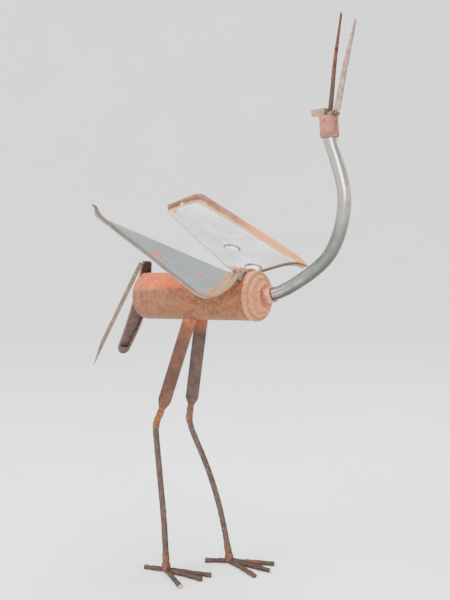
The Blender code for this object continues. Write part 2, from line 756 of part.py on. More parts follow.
def make_thigh(name, top, foot, face, group, cutters, parent):
    """A flat file hung from the body, its upper end shaped to the cylinder."""
    length = (foot - top).length
    half = THIGH_WIDTH / 2.0
    tang = THIGH_TANG / 2.0
    outline = [
        (0.0, -half), (0.0, half), (length - THIGH_SHOULDER, half), (length, tang),
        (length, -tang), (length - THIGH_SHOULDER, -half),
    ]
    thigh = flat_outline(name, outline, THIGH_THICKNESS, group)
    thigh.matrix_world = frame_along(top, foot - top, face)
    cut_with(thigh, flattened(body_clearance_cutter(name + "_seat"), cutters), cutters)
    thigh = flattened(thigh, group)
    place(thigh, brown_steel(name + "_steel"), group, parent)


def make_shin(name, points, thigh_top, thigh_foot, group, parent):
    """A bent bar whose upper end butts against the thigh's tang."""
    path = smooth_path([Vector(point) for point in points], SHIN_SAMPLES)
    shin = rod(name, path, SHIN_RADIUS, 2, group)
    up = (thigh_top - thigh_foot).normalized()
    cut_plane(shin, thigh_foot - up * WELD_GAP, up)
    smooth(shin)
    place(shin, brown_steel(name + "_steel"), group, parent)


def make_foot(name, ankle, toes, group, parent):
    """Four round toes mitred together under the ankle and resting on worn flats."""
    height = GROUND_LEVEL + TOE_RADIUS - GROUND_SINK
    centre = Vector((ankle[0], ankle[1], height))
    angles = {key: math.atan2(tip[1], tip[0]) for key, tip in toes.items()}
    for key, tip in toes.items():
        end = centre + Vector((tip[0], tip[1], 0.0))
        along = (end - centre).normalized()
        middle = centre.lerp(end, 0.5)
        path = [centre, middle, end - along * TOE_TIP_CHAMFER, end]
        toe = rod(name + "_toe_" + key, path, TOE_RADIUS, 2, group)
        cut_plane(toe, Vector((0.0, 0.0, GROUND_LEVEL)), Vector((0.0, 0.0, -1.0)))
        for other, other_angle in angles.items():
            if other == key:
                continue
            gap = (other_angle - angles[key] + math.pi) % (2.0 * math.pi) - math.pi
            split = angles[key] + gap / 2.0
            across = Vector((-math.sin(split), math.cos(split), 0.0))
            if gap < 0.0:
                across = -across
            cut_plane(toe, centre - across * WELD_GAP / 2.0, across)
        smooth(toe)
        place(toe, brown_steel(name + "_" + key + "_steel"), group, parent)


def centre_on_ground(group, stand):
    """Moves the whole bird so that the middle of its box stands over the origin."""
    bpy.context.view_layer.update()
    depsgraph = bpy.context.evaluated_depsgraph_get()
    corners = []
    for piece in group.objects:
        if piece.type == "MESH":
            shown = piece.evaluated_get(depsgraph)
            corners += [shown.matrix_world @ vertex.co for vertex in shown.data.vertices]
    low = [min(corner[axis] for corner in corners) for axis in range(3)]
    high = [max(corner[axis] for corner in corners) for axis in range(3)]
    stand.location = (-(low[0] + high[0]) / 2.0, -(low[1] + high[1]) / 2.0, -low[2])


def build():
    clear_scene()
    group = new_collection(COLLECTION)
    cutters = new_collection(CUTTERS)
    stand = bpy.data.objects.new("stand", None)
    group.objects.link(stand)
    make_body(group, stand)
    make_boss(group, stand)
    make_neck(group, stand)
    make_sleeve(group, stand)
    make_crest(group, stand)
    make_blade("beak_back", BACK_BLADE_FOOT_X, BACK_BLADE_BEND, BACK_BLADE_TIP, BACK_BLADE_WIDTHS,
               orange_blade(), group, stand)
    make_blade("beak_front", FRONT_BLADE_FOOT_X, FRONT_BLADE_BEND, FRONT_BLADE_TIP,
               FRONT_BLADE_WIDTHS, tan_blade(), group, stand)
    right_pose = {
        "sweep": RIGHT_WING_SWEEP, "climb": RIGHT_WING_CLIMB, "droop": RIGHT_WING_DROOP,
        "rise": RIGHT_TIP_RISE, "bow": RIGHT_ROOT_BOW, "lead": RIGHT_ROOT_LEAD, "reach": 0.0,
        "arch": 0.0, "dip": 0.0, "flare": RIGHT_TIP_FLARE,
    }
    make_wing("wing_right", RIGHT_WING_ROOT, right_pose, 1, group, cutters, stand)
    left_pose = {
        "sweep": LEFT_WING_SWEEP, "climb": LEFT_WING_CLIMB, "droop": LEFT_WING_DROOP,
        "rise": LEFT_TIP_RISE, "bow": LEFT_ROOT_BOW, "lead": LEFT_ROOT_LEAD, "reach": LEFT_ROOT_REACH,
        "arch": LEFT_ROOT_ARCH, "dip": LEFT_ROOT_DIP, "flare": 0.0,
    }
    make_wing("wing_left", LEFT_WING_ROOT, left_pose, -1, group, cutters, stand)
    make_tail("tail_right", -1, RIGHT_TAIL_TOP, RIGHT_TAIL_TIP, 0.0, 0.0,
              brown_steel("tail_right_steel"), group, cutters, stand)
    make_tail("tail_left", 1, LEFT_TAIL_TOP, LEFT_TAIL_TIP, LEFT_TAIL_BOW, LEFT_TIP_ROUND,
              brown_steel("tail_left_steel"), group, cutters, stand)
    make_thigh("thigh_right", RIGHT_THIGH_TOP, RIGHT_THIGH_FOOT, RIGHT_THIGH_FACE, group, cutters, stand)
    make_thigh("thigh_left", LEFT_THIGH_TOP, LEFT_THIGH_FOOT, LEFT_THIGH_FACE, group, cutters, stand)
    make_shin("shin_right", RIGHT_SHIN, RIGHT_THIGH_TOP, RIGHT_THIGH_FOOT, group, stand)
    make_shin("shin_left", LEFT_SHIN, LEFT_THIGH_TOP, LEFT_THIGH_FOOT, group, stand)
    make_foot("right", RIGHT_ANKLE, RIGHT_TOES, group, stand)
    make_foot("left", LEFT_ANKLE, LEFT_TOES, group, stand)
    centre_on_ground(group, stand)


build()
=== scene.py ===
"""Looks of a welded metal bird: rusted cylinder body, pan wings, tube neck, file thighs and rod feet."""

import math

import bmesh
import bpy
import numpy as np
from bpy.props import FloatProperty, FloatVectorProperty, IntProperty, PointerProperty
from bpy.types import Operator, Panel, PropertyGroup
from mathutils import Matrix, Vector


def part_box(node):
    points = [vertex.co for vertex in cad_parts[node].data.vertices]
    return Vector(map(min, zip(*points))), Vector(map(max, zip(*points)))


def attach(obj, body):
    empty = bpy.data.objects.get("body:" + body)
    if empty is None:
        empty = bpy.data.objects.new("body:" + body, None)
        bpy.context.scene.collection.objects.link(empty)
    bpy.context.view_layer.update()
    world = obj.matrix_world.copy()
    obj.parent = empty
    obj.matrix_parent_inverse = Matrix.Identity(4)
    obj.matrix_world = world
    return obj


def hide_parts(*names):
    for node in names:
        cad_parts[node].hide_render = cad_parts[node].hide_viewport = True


bl_info = {
    "name": "Welded Metal Bird",
    "version": (1, 0, 0),
    "blender": (4, 5, 0),
    "location": "3D View > Sidebar > Metal Bird",
    "description": "Builds the finished surfaces of a welded metal bird around its packed solids",
    "category": "Add Mesh",
}

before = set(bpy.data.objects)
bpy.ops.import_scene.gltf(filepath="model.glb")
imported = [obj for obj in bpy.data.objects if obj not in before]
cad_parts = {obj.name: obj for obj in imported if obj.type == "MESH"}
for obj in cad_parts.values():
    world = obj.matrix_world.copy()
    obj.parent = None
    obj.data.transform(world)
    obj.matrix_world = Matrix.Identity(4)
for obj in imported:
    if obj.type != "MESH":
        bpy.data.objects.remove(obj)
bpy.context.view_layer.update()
UP = np.array([0.0, 0.0, 1.0])
ACROSS = np.array([0.0, 1.0, 0.0])
LEG_FACE = np.array([0.31, -0.95, 0.05])
SHIN_WAY = (-0.3, 0.0, -1.0)
TURNED_COLUMNS = 72
BAR_COLUMNS = 32
WELD_COLUMNS = 28
BEAD_COLUMNS = 20
SMALL_WAVES = 0.0003
POLE_RADIUS = 0.002


def linear(red, green, blue):
    """Scene-linear colour of a 0 to 255 screen colour."""
    shares = [value / 255.0 for value in (red, green, blue)]
    return tuple(s / 12.92 if s <= 0.04045 else ((s + 0.055) / 1.055) ** 2.4 for s in shares)


def size(name, default, description):
    return FloatProperty(name=name, default=default, description=description, unit="LENGTH",
                         subtype="DISTANCE", precision=4)


def colour(name, default, description):
    return FloatVectorProperty(name=name, default=default, description=description,
                               subtype="COLOR", size=3, min=0.0, max=1.0)


class BirdSizes(PropertyGroup):
    """Sizes of the finished surfaces that the solids leave open."""

    wing_length: size("Wing length", 0.273, "Length of a wing along its straight cut edge")
    wing_root_width: size("Root width", 0.182, "Width of a wing at the body")
    wing_tip_width: size("Tip width", 0.066, "Width of a wing at its tip")
    wing_corner: size("Corner radius", 0.026, "Radius of the pan's outer corners")
    rim_height: size("Rim height", 0.011, "Height of the pan's rim above its floor")
    sheet: size("Sheet", 0.0015, "Thickness of the pan's sheet steel")
    dimple_depth: size("Dimple depth", 0.0045, "Depth of the round dimples pressed in the pan")
    dent: size("Dents", 0.0006, "How far old dents move the sheet")
    edge_round: size("Worn edges", 0.0009, "Rounding of the worn edges of bars and blades")
    lumps: IntProperty(name="Weld lumps", default=9, min=2, max=40,
                       description="Ripples along a weld bead")


class BirdColours(PropertyGroup):
    """Colours of the steel and its rust."""

    # Partly painted light: orange rust of the top, painted lighter where it faces the light above.
    top_rust_and_light: colour("Orange rust", linear(170, 74, 40), "Fresh rust on top of the body")
    rust_brown: colour("Brown rust", linear(132, 80, 52), "Old rust on the body's sides")
    rust_dark: colour("Dark rust", linear(98, 58, 41), "Darker rust on the body's sides")
    rust_pale: colour("Pale rust", linear(188, 122, 82), "Pale rubbed rust of the body's front")
    rust_pink: colour("Pink rust", linear(154, 94, 76), "Pinkish rust of the sleeve and boss")
    # Painted light and shade: both wings are the same sheet steel; the left wing's sheet is painted lighter
    # as painted light and the right wing's darker as painted shade.
    pan_lit_sheet: colour("Bright sheet", linear(218, 220, 217), "Bright pressed sheet of the left wing")
    pan_shaded_sheet: colour("Dull sheet", linear(132, 135, 134), "Duller bluish sheet of the right wing")
    lip_orange: colour("Lip orange", linear(206, 116, 54), "Bright rust on the left wing's rim")
    # Partly painted shade: the right wing's grey-brown rim skin is painted darker because its outer face is
    # in shade.
    lip_grey_shaded: colour("Lip grey", linear(88, 77, 68), "Grey-brown skin of the right wing's rim")
    tube_steel: colour("Tube steel", linear(164, 165, 160), "Bare steel of the neck")
    bar_brown: colour("Bar brown", linear(83, 63, 55), "Weathered brown of the shins")
    toe_brown: colour("Toe brown", linear(72, 55, 46), "Weathered brown of the toes")
    blade_tan: colour("Blade tan", linear(158, 127, 108), "Rubbed tan of the front beak blade")
    weld_grey: colour("Weld grey", linear(112, 98, 87), "Grey-brown of weld metal")
    floor_pale: colour("Floor", linear(243, 243, 242), "Pale floor under the bird")


# Reading shapes from the frame


def mesh_points(mesh):
    """The corners of a mesh as one array."""
    points = np.empty(len(mesh.vertices) * 3)
    mesh.vertices.foreach_get("co", points)
    return points.reshape(-1, 3)


def mesh_triangles(mesh):
    """The triangles of a mesh as an array of corner places."""
    mesh.calc_loop_triangles()
    index = np.empty(len(mesh.loop_triangles) * 3, dtype=np.int64)
    mesh.loop_triangles.foreach_get("vertices", index)
    return mesh_points(mesh)[index.reshape(-1, 3)]


def node_points(node):
    return mesh_points(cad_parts[node].data)


def node_triangles(node):
    return mesh_triangles(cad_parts[node].data)


def unit(vector):
    vector = np.asarray(vector, dtype=float)
    return vector / np.linalg.norm(vector)


def turned_place(node, direction):
    """Axis start, direction and length of a node that was turned about a known direction."""
    points = node_points(node)
    direction = unit(direction)
    side = ACROSS
    up = np.cross(direction, side)
    reach = [points @ way for way in (direction, side, up)]
    middles = [(values.min() + values.max()) / 2.0 for values in reach]
    start = direction * reach[0].min() + side * middles[1] + up * middles[2]
    return start, direction, reach[0].max() - reach[0].min()


def section(triangles, place, direction, reach, across, deep):
    """Middle and half widths of the cut through a solid by a plane, near a place."""
    height = (triangles - place) @ direction
    cuts = []
    for first, second in ((0, 1), (1, 2), (2, 0)):
        ha, hb = height[:, first], height[:, second]
        hit = ha * hb < 0.0
        share = (ha[hit] / (ha[hit] - hb[hit]))[:, None]
        cuts.append(triangles[hit, first] * (1.0 - share) + triangles[hit, second] * share)
    cut = np.concatenate(cuts)
    cut = cut[np.linalg.norm(cut - place, axis=1) < reach]
    if len(cut) < 6:
        return None
    wide = (cut - place) @ across
    thick = (cut - place) @ deep
    middle = place + across * (wide.min() + wide.max()) / 2.0 + deep * (thick.min() + thick.max()) / 2.0
    return middle, (wide.max() - wide.min()) / 2.0, (thick.max() - thick.min()) / 2.0


def follow_bar(node, along, step, reach, face=None):
    """Walks through a bar from the end that a direction leads away from, and reads it at each step."""
    triangles = node_triangles(node)
    points = node_points(node)
    direction = unit(along)
    depth = points @ direction
    end = points[depth < depth.min() + reach * 0.8]
    place = (end.min(0) + end.max(0)) / 2.0
    place = place + direction * (depth.min() + step * 0.3 - place @ direction)
    middles, wides, thicks = [], [], []
    while len(middles) < 400:
        hint = LEG_FACE if face is None else face
        across = unit(np.cross(direction, hint))
        deep = np.cross(direction, across)
        found = section(triangles, place, direction, reach, across, deep)
        if found is None:
            break
        middle, wide, thick = found
        middles.append(middle)
        wides.append(wide)
        thicks.append(thick)
        back = middles[max(0, len(middles) - 5)]
        if len(middles) > 2:
            direction = unit(middle - back)
        place = middle + direction * step
    path = np.array(middles)
    last = direction * max(0.0, ((points - path[-1]) @ direction).max())
    first_way = unit(path[2] - path[0])
    near = points[np.linalg.norm(points - path[0], axis=1) < reach]
    first = first_way * min(0.0, ((near - path[0]) @ first_way).min())
    path = np.concatenate([[path[0] + first], path, [path[-1] + last]])
    return path, np.pad(wides, 1, "edge"), np.pad(thicks, 1, "edge")


def resample(path, count, *values):
    """Even steps along a path, with any values carried along; returns path and values."""
    lengths = np.concatenate([[0.0], np.cumsum(np.linalg.norm(np.diff(path, axis=0), axis=1))])
    even = np.linspace(0.0, lengths[-1], count)
    line = np.stack([np.interp(even, lengths, path[:, axis]) for axis in range(path.shape[1])], 1)
    return [line] + [np.interp(even, lengths, value) for value in values]


def softened(values, width):
    """Running mean over an odd width, with the ends held."""
    kernel = np.ones(width) / width
    pad = width // 2
    held = np.concatenate([np.repeat(values[:1], pad, 0), values, np.repeat(values[-1:], pad, 0)])
    if values.ndim == 1:
        return np.convolve(held, kernel, "valid")
    return np.stack([np.convolve(held[:, axis], kernel, "valid") for axis in range(values.shape[1])], 1)


# Surfaces


def waves(points, pitch, seed, count=7):
    """Smooth unevenness between -1 and 1: a sum of sines in seeded directions of about one pitch."""
    chance = np.random.default_rng(seed)
    total = np.zeros(points.shape[:-1])
    for _ in range(count):
        way = unit(chance.normal(size=3)) * 2.0 * math.pi / (pitch * chance.uniform(0.6, 1.6))
        total += np.sin(points @ way + chance.uniform(0.0, 2.0 * math.pi))
    return total / count * 1.6


def path_frames(path, face):
    """Two directions square to a path at each step, which keep to one face."""
    along = np.gradient(path, axis=0)
    along /= np.linalg.norm(along, axis=1)[:, None]
    across = np.cross(along, face)
    across /= np.linalg.norm(across, axis=1)[:, None]
    return across, np.cross(along, across)


def grid_faces(index, wrap):
    """Quads between neighbouring rows and columns of point numbers, closed into rings where asked."""
    if wrap:
        index = np.concatenate([index, index[:, :1]], 1)
    return np.stack([index[:-1, :-1], index[:-1, 1:], index[1:, 1:], index[1:, :-1]], -1).reshape(-1, 4)


def make_mesh(name, grid, wrap, caps=False):
    """A grid of points as a mesh piece; caps close both ends with a fan to a middle point.

    The value run goes from 0 at the first row to 1 at the last, by the length along the rows.
    """
    rows, columns = grid.shape[:2]
    points = grid.reshape(-1, 3)
    faces = grid_faces(np.arange(rows * columns).reshape(rows, columns), wrap).tolist()
    pace = np.linalg.norm(np.diff(grid, axis=0), axis=2).mean(1)
    travel = np.concatenate([[0.0], np.cumsum(pace)]) / pace.sum()
    run = np.repeat(travel, columns)
    if caps:
        run = np.concatenate([run, [0.0, 1.0]])
        points = np.concatenate([points, grid[0].mean(0)[None], grid[-1].mean(0)[None]])
        column = np.arange(columns)
        after = (column + 1) % columns
        first = np.full(columns, rows * columns)
        last = (rows - 1) * columns
        faces += np.stack([after, column, first], 1).tolist()
        faces += np.stack([last + column, last + after, first + 1], 1).tolist()
    return mesh_piece(name, points, faces, {"run": run})


def mesh_piece(name, points, faces, values):
    """A mesh piece from points and faces, with any values that its finish reads."""
    mesh = bpy.data.meshes.new(name)
    mesh.from_pydata(points.tolist(), [], faces)
    for key, value in values.items():
        attribute = mesh.attributes.new(key, "FLOAT", "POINT")
        attribute.data.foreach_set("value", value.astype(np.float32))
    mesh.validate()
    mesh.shade_smooth()
    mesh.set_sharp_from_angle(angle=math.radians(50.0))
    piece = bpy.data.objects.new(name, mesh)
    bpy.context.scene.collection.objects.link(piece)
    return piece


def face_out(piece):
    """Turns a closed surface's faces outwards, by the sign of the volume that it encloses."""
    mesh = piece.data
    first, second, third = (mesh_triangles(mesh) - mesh_points(mesh).mean(0)).transpose(1, 0, 2)
    if np.einsum("ij,ij->i", first, np.cross(second, third)).sum() < 0.0:
        mesh.flip_normals()
    return piece


def dress(piece, material, node=None):
    """Gives a piece its finish, hangs it on the bird and lets it stand for its CAD node."""
    piece.data.materials.clear()
    piece.data.materials.append(material)
    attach(piece, "root")
    if node:
        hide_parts(node)
    return piece


def rounded_profile(wide, thick, edge, columns):
    """Section of a worn bar: a superellipse whose power grows with width over edge rounding."""
    angle = np.linspace(0.0, 2.0 * math.pi, columns, endpoint=False)
    power = 2.0 / np.clip(thick / np.maximum(edge, 1e-6), 2.0, 9.0)
    cos, sin = np.cos(angle), np.sin(angle)
    power = np.atleast_1d(power)[:, None]
    x = np.sign(cos) * np.abs(cos) ** power * np.atleast_1d(wide)[:, None]
    y = np.sign(sin) * np.abs(sin) ** power * np.atleast_1d(thick)[:, None]
    return x, y


def swept(name, path, wide, thick, edge, face, columns, rough, pitch, seed, end_round=0.0):
    """A bar: the rounded profile carried along the path, its skin moved by small waves along its normal.

    Point = path + across * x + deep * y, with x and y from the profile; the last few rows draw in to
    round the ends.
    """
    across, deep = path_frames(path, face)
    x, y = rounded_profile(wide, thick, edge, columns)
    if end_round > 0.0:
        run = np.linalg.norm(np.diff(path, axis=0), axis=1)
        travel = np.concatenate([[0.0], np.cumsum(run)])
        near = np.minimum(travel, travel[-1] - travel)
        draw = np.sqrt(np.clip(1.0 - (1.0 - np.clip(near / end_round, 0.0, 1.0)) ** 2, 0.05, 1.0))
        x, y = x * draw[:, None], y * draw[:, None]
    out = across[:, None, :] * x[..., None] + deep[:, None, :] * y[..., None]
    grid = path[:, None, :] + out
    way = out / np.maximum(np.linalg.norm(out, axis=-1, keepdims=True), 1e-9)
    grid = grid + way * (waves(grid, pitch, seed) * rough)[..., None]
    return face_out(make_mesh(name, grid, True, caps=True))


def round_bar(name, path, radius, face, columns, rough, pitch, seed, end_round=0.0):
    """A round bar: a circle of the given radius carried along the path, with the waves of swept."""
    return swept(name, path, radius, radius, radius, face, columns, rough, pitch, seed, end_round)


def lathed(name, start, direction, radii, heights, columns, rough, pitch, seed):
    """A turned surface: radius and height along the profile, carried round the axis.

    Point = start + direction * height + radius * (cos a * side + sin a * up), moved by small waves.
    """
    side = unit(np.cross(direction, UP)) if abs(direction[2]) < 0.9 else np.array([1.0, 0.0, 0.0])
    side = unit(side - direction * (side @ direction))
    up = np.cross(direction, side)
    angle = np.linspace(0.0, 2.0 * math.pi, columns, endpoint=False)
    ring = np.cos(angle)[:, None] * side + np.sin(angle)[:, None] * up
    grid = start + direction * heights[:, None, None] + radii[:, None, None] * ring[None, :, :]
    moved = waves(grid, pitch, seed) * rough
    grid = grid + ring[None, :, :] * moved[..., None] * (radii > POLE_RADIUS)[:, None, None]
    return face_out(make_mesh(name, grid, True, caps=True))


def lay_weld(name, path, wide, high, face, seed, metal):
    """A bead of weld: a flat oval carried along a path, swollen by ripples and seeded lumps."""
    lumps = bpy.context.scene.bird_sizes.lumps
    count = max(24, 4 * lumps)
    path = softened(resample(np.asarray(path, dtype=float), count)[0], 5)
    share = np.linspace(0.0, 1.0, count)
    ripple = 1.0 + 0.14 * np.sin(share * lumps * 2.0 * math.pi)
    chance = np.random.default_rng(seed)
    swell = 1.0 + 0.25 * np.interp(share, np.linspace(0.0, 1.0, 7), chance.uniform(-1.0, 1.0, 7))
    span = np.linalg.norm(np.diff(path, axis=0), axis=1).sum()
    piece = swept(name, path, wide * ripple * swell, high * ripple * swell, high, unit(face), BEAD_COLUMNS,
                  high * 0.28, high * 3.0, seed, end_round=min(span * 0.3, wide))
    return dress(piece, metal)


# Finishes


class Recipe:
    """A small writer of material nodes over Object coordinates."""

    def __init__(self, name):
        self.material = bpy.data.materials.new(name)
        self.material.use_nodes = True
        self.nodes = self.material.node_tree.nodes
        self.links = self.material.node_tree.links
        self.shader = self.nodes["Principled BSDF"]
        self.place = self.add("TexCoord", {})["Object"]

    def feed(self, socket, value):
        if isinstance(value, bpy.types.NodeSocket):
            self.links.new(value, socket)
        elif socket.type == "RGBA":
            socket.default_value = (*value, 1.0)
        else:
            socket.default_value = value

    def add(self, kind, inputs, **choices):
        """A new node with its choices made and its inputs fed; returns its outputs."""
        node = self.nodes.new("ShaderNode" + kind)
        for name, choice in choices.items():
            setattr(node, name, choice)
        for socket, value in inputs.items():
            self.feed(node.inputs[socket], value)
        return node.outputs

    def stretched(self, scale):
        return self.add("Mapping", {"Vector": self.place, "Scale": scale})["Vector"]

    def noise(self, scale, detail=5.0, rough=0.6, vector=None, bend=0.0):
        return self.add("TexNoise", {"Vector": vector or self.place, "Scale": scale, "Detail": detail,
                                     "Roughness": rough, "Distortion": bend})["Fac"]

    def spots(self, scale):
        return self.add("TexVoronoi", {"Vector": self.place, "Scale": scale})["Distance"]

    def ramp(self, value, low, high, start=0.0, end=1.0):
        """Smooth change from start to end while a value goes from low to high."""
        return self.add("MapRange", {"Value": value, "From Min": low, "From Max": high, "To Min": start,
                                     "To Max": end}, interpolation_type="SMOOTHSTEP")["Result"]

    def math(self, kind, first, second):
        return self.add("Math", {0: first, 1: second}, operation=kind)[0]

    def plus(self, first, second):
        return self.math("ADD", first, second)

    def times(self, first, second):
        return self.math("MULTIPLY", first, second)

    def mix(self, share, first, second):
        return self.add("Mix", {"Factor": share, 6: first, 7: second}, data_type="RGBA")[2]

    def over(self, tint, value, low, high, tone, most=1.0):
        """A tint with a tone laid over it where a value goes from low to high."""
        return self.mix(self.ramp(value, low, high, 0.0, most), tint, tone)

    def band(self, value, low, high, soft):
        """1 between two values, with soft edges outside them."""
        return self.times(self.ramp(value, low, low + soft), self.ramp(value, high, high + soft, 1.0, 0.0))

    def shade(self, tint, value, low, high):
        """A colour made darker and lighter by a value."""
        return self.add("HueSaturation", {"Color": tint,
                                          "Value": self.ramp(value, 0.25, 0.75, low, high)})["Color"]

    def upward(self, low=-0.2, high=0.95):
        """How far the surface faces up: 0 at the low share of straight up, 1 at the high one."""
        normal = self.add("NewGeometry", {})["Normal"]
        return self.ramp(self.add("SeparateXYZ", {0: normal})["Z"], low, high)

    def height(self):
        return self.add("SeparateXYZ", {0: self.place})["Z"]

    def value(self, name):
        return self.add("Attribute", {}, attribute_name=name)["Fac"]

    def bump(self, height, strength, distance, below=None):
        inputs = {"Strength": strength, "Distance": distance, "Height": height}
        if below is not None:
            inputs["Normal"] = below
        return self.add("Bump", inputs)["Normal"]

    def finish(self, tint, roughness, metallic, normal=None, gloss=0.5):
        inputs = {"Base Color": tint, "Roughness": roughness, "Metallic": metallic,
                  "Specular IOR Level": gloss}
        if normal is not None:
            inputs["Normal"] = normal
        for socket, value in inputs.items():
            self.feed(self.shader.inputs[socket], value)
        return self.material


def scaled(tone, share):
    """A tone made darker or lighter, held below full light."""
    return tuple(min(1.0, value * share) for value in tone)


def body_finish(colours):
    """Rusted cylinder: orange above, partly painted light, mottled brown on the sides, olive below, pale
    turned front.
    """
    r = Recipe("rusted_cylinder")
    run = r.value("run")
    clouds = r.noise(46.0, 6.0, 0.66, bend=0.5)
    grain = r.noise(460.0, 5.0, 0.7)
    mottle = r.noise(190.0, 5.0, 0.68)
    blots = r.noise(120.0, 4.0, 0.6)
    strokes = r.noise(210.0, 4.0, 0.6, r.stretched((2.2, 1.0, 0.35)))
    side = r.over(colours.rust_dark, clouds, 0.36, 0.66, colours.rust_brown)
    side = r.over(side, mottle, 0.52, 0.66, linear(142, 102, 72), 0.75)
    rear = r.ramp(run, 0.30, 0.50, 1.0, 0.25)
    side = r.mix(r.times(r.ramp(strokes, 0.50, 0.64), rear), side, linear(112, 88, 62))
    side = r.over(side, blots, 0.60, 0.70, linear(134, 68, 38), 0.8)
    belly = r.plus(r.upward(-1.0, 0.0), r.ramp(clouds, 0.3, 0.7, -0.04, 0.04))
    side = r.mix(r.ramp(belly, 0.06, 0.20, 0.5, 0.0), side, linear(112, 88, 60))
    high = r.over(colours.top_rust_and_light, r.noise(24.0, 4.0, 0.55), 0.35, 0.65, linear(184, 88, 46))
    high = r.over(high, mottle, 0.56, 0.66, linear(206, 132, 70), 0.9)
    high = r.over(high, blots, 0.60, 0.70, linear(160, 64, 44))
    # Partly painted light: the orange top is painted lighter where the surface faces up.
    lift = r.plus(r.upward(), r.ramp(clouds, 0.3, 0.7, -0.16, 0.16))
    tint = r.over(side, lift, 0.44, 0.74, high)
    tint = r.mix(r.times(r.band(run, 0.145, 0.175, 0.010), 0.45), tint, linear(128, 84, 78))
    pale = r.over(linear(150, 96, 66), mottle, 0.36, 0.62, colours.rust_pale)
    tint = r.over(tint, run, FRONT_FROM, FRONT_FROM + 0.008, pale)
    ring = r.times(r.band(run, 0.870, 0.884, 0.006), r.ramp(mottle, 0.35, 0.6, 0.1, 0.6))
    tint = r.shade(r.mix(ring, tint, linear(112, 92, 60)), grain, 0.68, 1.30)
    normal = r.bump(r.ramp(r.spots(300.0), 0.05, 0.42), 0.30, 0.0006)
    normal = r.bump(grain, 0.50, 0.0007, normal)
    normal = r.bump(mottle, 0.45, 0.0010, normal)
    shine = r.ramp(grain, 0.3, 0.7, 0.58, 0.86)
    return r.finish(tint, shine, r.ramp(mottle, 0.5, 0.8, 0.0, 0.3), normal, 0.2)


def pink_finish(name, tone):
    """Even pinkish rust with darker hollows and paler rubbed spots, and painted shade darkening the far
    end.
    """
    r = Recipe(name)
    clouds = r.noise(95.0, 5.0, 0.62)
    grain = r.noise(600.0, 5.0, 0.7)
    tint = r.over(scaled(tone, 0.55), clouds, 0.34, 0.62, tone)
    tint = r.over(tint, r.noise(150.0), 0.58, 0.70, linear(186, 132, 102))
    # Painted shade: darker towards the far end, where the neck enters the boss and where the head's parts
    # sit on the sleeve.
    ends = r.ramp(r.value("run"), 0.80, 0.97)
    tint = r.mix(r.times(ends, 0.4), tint, linear(112, 66, 50))
    tint = r.shade(tint, grain, 0.75, 1.2)
    return r.finish(tint, 0.66, 0.2, r.bump(clouds, 0.4, 0.0012, r.bump(grain, 0.5, 0.0005)))


def sheet_finish(name, tones):
    """Pan half: cloudy scratched floor, a band on the lip, a dull outer skin, painted darker as shade on
    the right wing, rust spots and a root patch, with painted shade towards the tip, on the walls of the
    dimples and on the left wing's rim foot.

    The places come from values on the mesh: rim rises from the floor to the outer edge, out marks the
    outermost strip, edge the cut, root the end at the body, tip the far end, spot the rust spots and
    dimple_wall_shade the walls of the dimples, where shade is painted.
    """
    r = Recipe(name)
    clouds = r.noise(24.0, 6.0, 0.60, bend=0.4)
    fine = r.noise(260.0, 5.0, 0.65)
    scratch = r.noise(110.0, 3.0, 0.5, r.stretched((0.25, 2.2, 1.0)))
    wobble = r.ramp(r.noise(48.0, 4.0, 0.6), 0.3, 0.7, -0.03, 0.03)
    rim = r.plus(r.value("rim"), wobble)
    root = r.plus(r.value("root"), wobble)
    tip = r.value("tip")
    tint = r.over(tones["shade"], clouds, 0.32, 0.70, tones["floor"])
    # Painted shade: the sheet is darker towards the tip.
    tint = r.over(tint, tip, 0.45, 0.95, tones["shade"], 0.75)
    tint = r.over(tint, scratch, 0.60, 0.72, scaled(tones["floor"], 1.25), 0.5)
    tint = r.over(tint, r.noise(85.0, 5.0, 0.7), 0.64, 0.76, linear(150, 128, 110), 0.6)
    patch = r.ramp(r.plus(root, r.ramp(clouds, 0.3, 0.7, -0.12, 0.12)), 0.45, 0.75)
    tint = r.mix(patch, tint, tones["patch"])
    tint = r.over(tint, rim, 0.38, 0.58, tones["fillet"])
    worn = r.over(scaled(tones["far_lip"], 0.6), r.noise(40.0, 5.0, 0.65), 0.40, 0.60, tones["far_lip"])
    tint = r.over(tint, rim, 0.60, 0.68, r.over(tones["lip"], tip, 0.35, 0.75, worn))
    tint = r.over(tint, r.plus(r.value("out"), wobble), 0.40, 0.62, tones["skin"])
    # The root end of the rim takes the foot tone: rust on the right wing, painted shade on the left wing's
    # shaded outer face.
    tint = r.over(tint, r.times(root, rim), 0.36, 0.50, tones["foot"])
    spots = r.plus(r.value("spot"), r.ramp(r.noise(150.0, 5.0, 0.7), 0.3, 0.7, -0.30, 0.30))
    tint = r.over(tint, spots, 0.45, 0.75, linear(190, 98, 62))
    # Painted shade on the walls of the dimples.
    tint = r.over(tint, r.value("dimple_wall_shade"), 0.1, 0.8, linear(72, 71, 68), 0.9)
    edge = r.plus(r.value("edge"), r.ramp(fine, 0.3, 0.7, -0.3, 0.3))
    tint = r.over(tint, edge, 0.5, 0.8, linear(92, 80, 70), 0.7)
    tint = r.shade(tint, fine, 0.86, 1.10)
    bare = r.math("MAXIMUM", r.ramp(rim, 0.30, 0.45), patch)
    normal = r.bump(clouds, 0.30, 0.0022, r.bump(fine, 0.28, 0.0004))
    return r.finish(tint, r.ramp(bare, 0.0, 1.0, 0.40, 0.74), r.ramp(bare, 0.0, 1.0, 0.50, 0.08), normal)


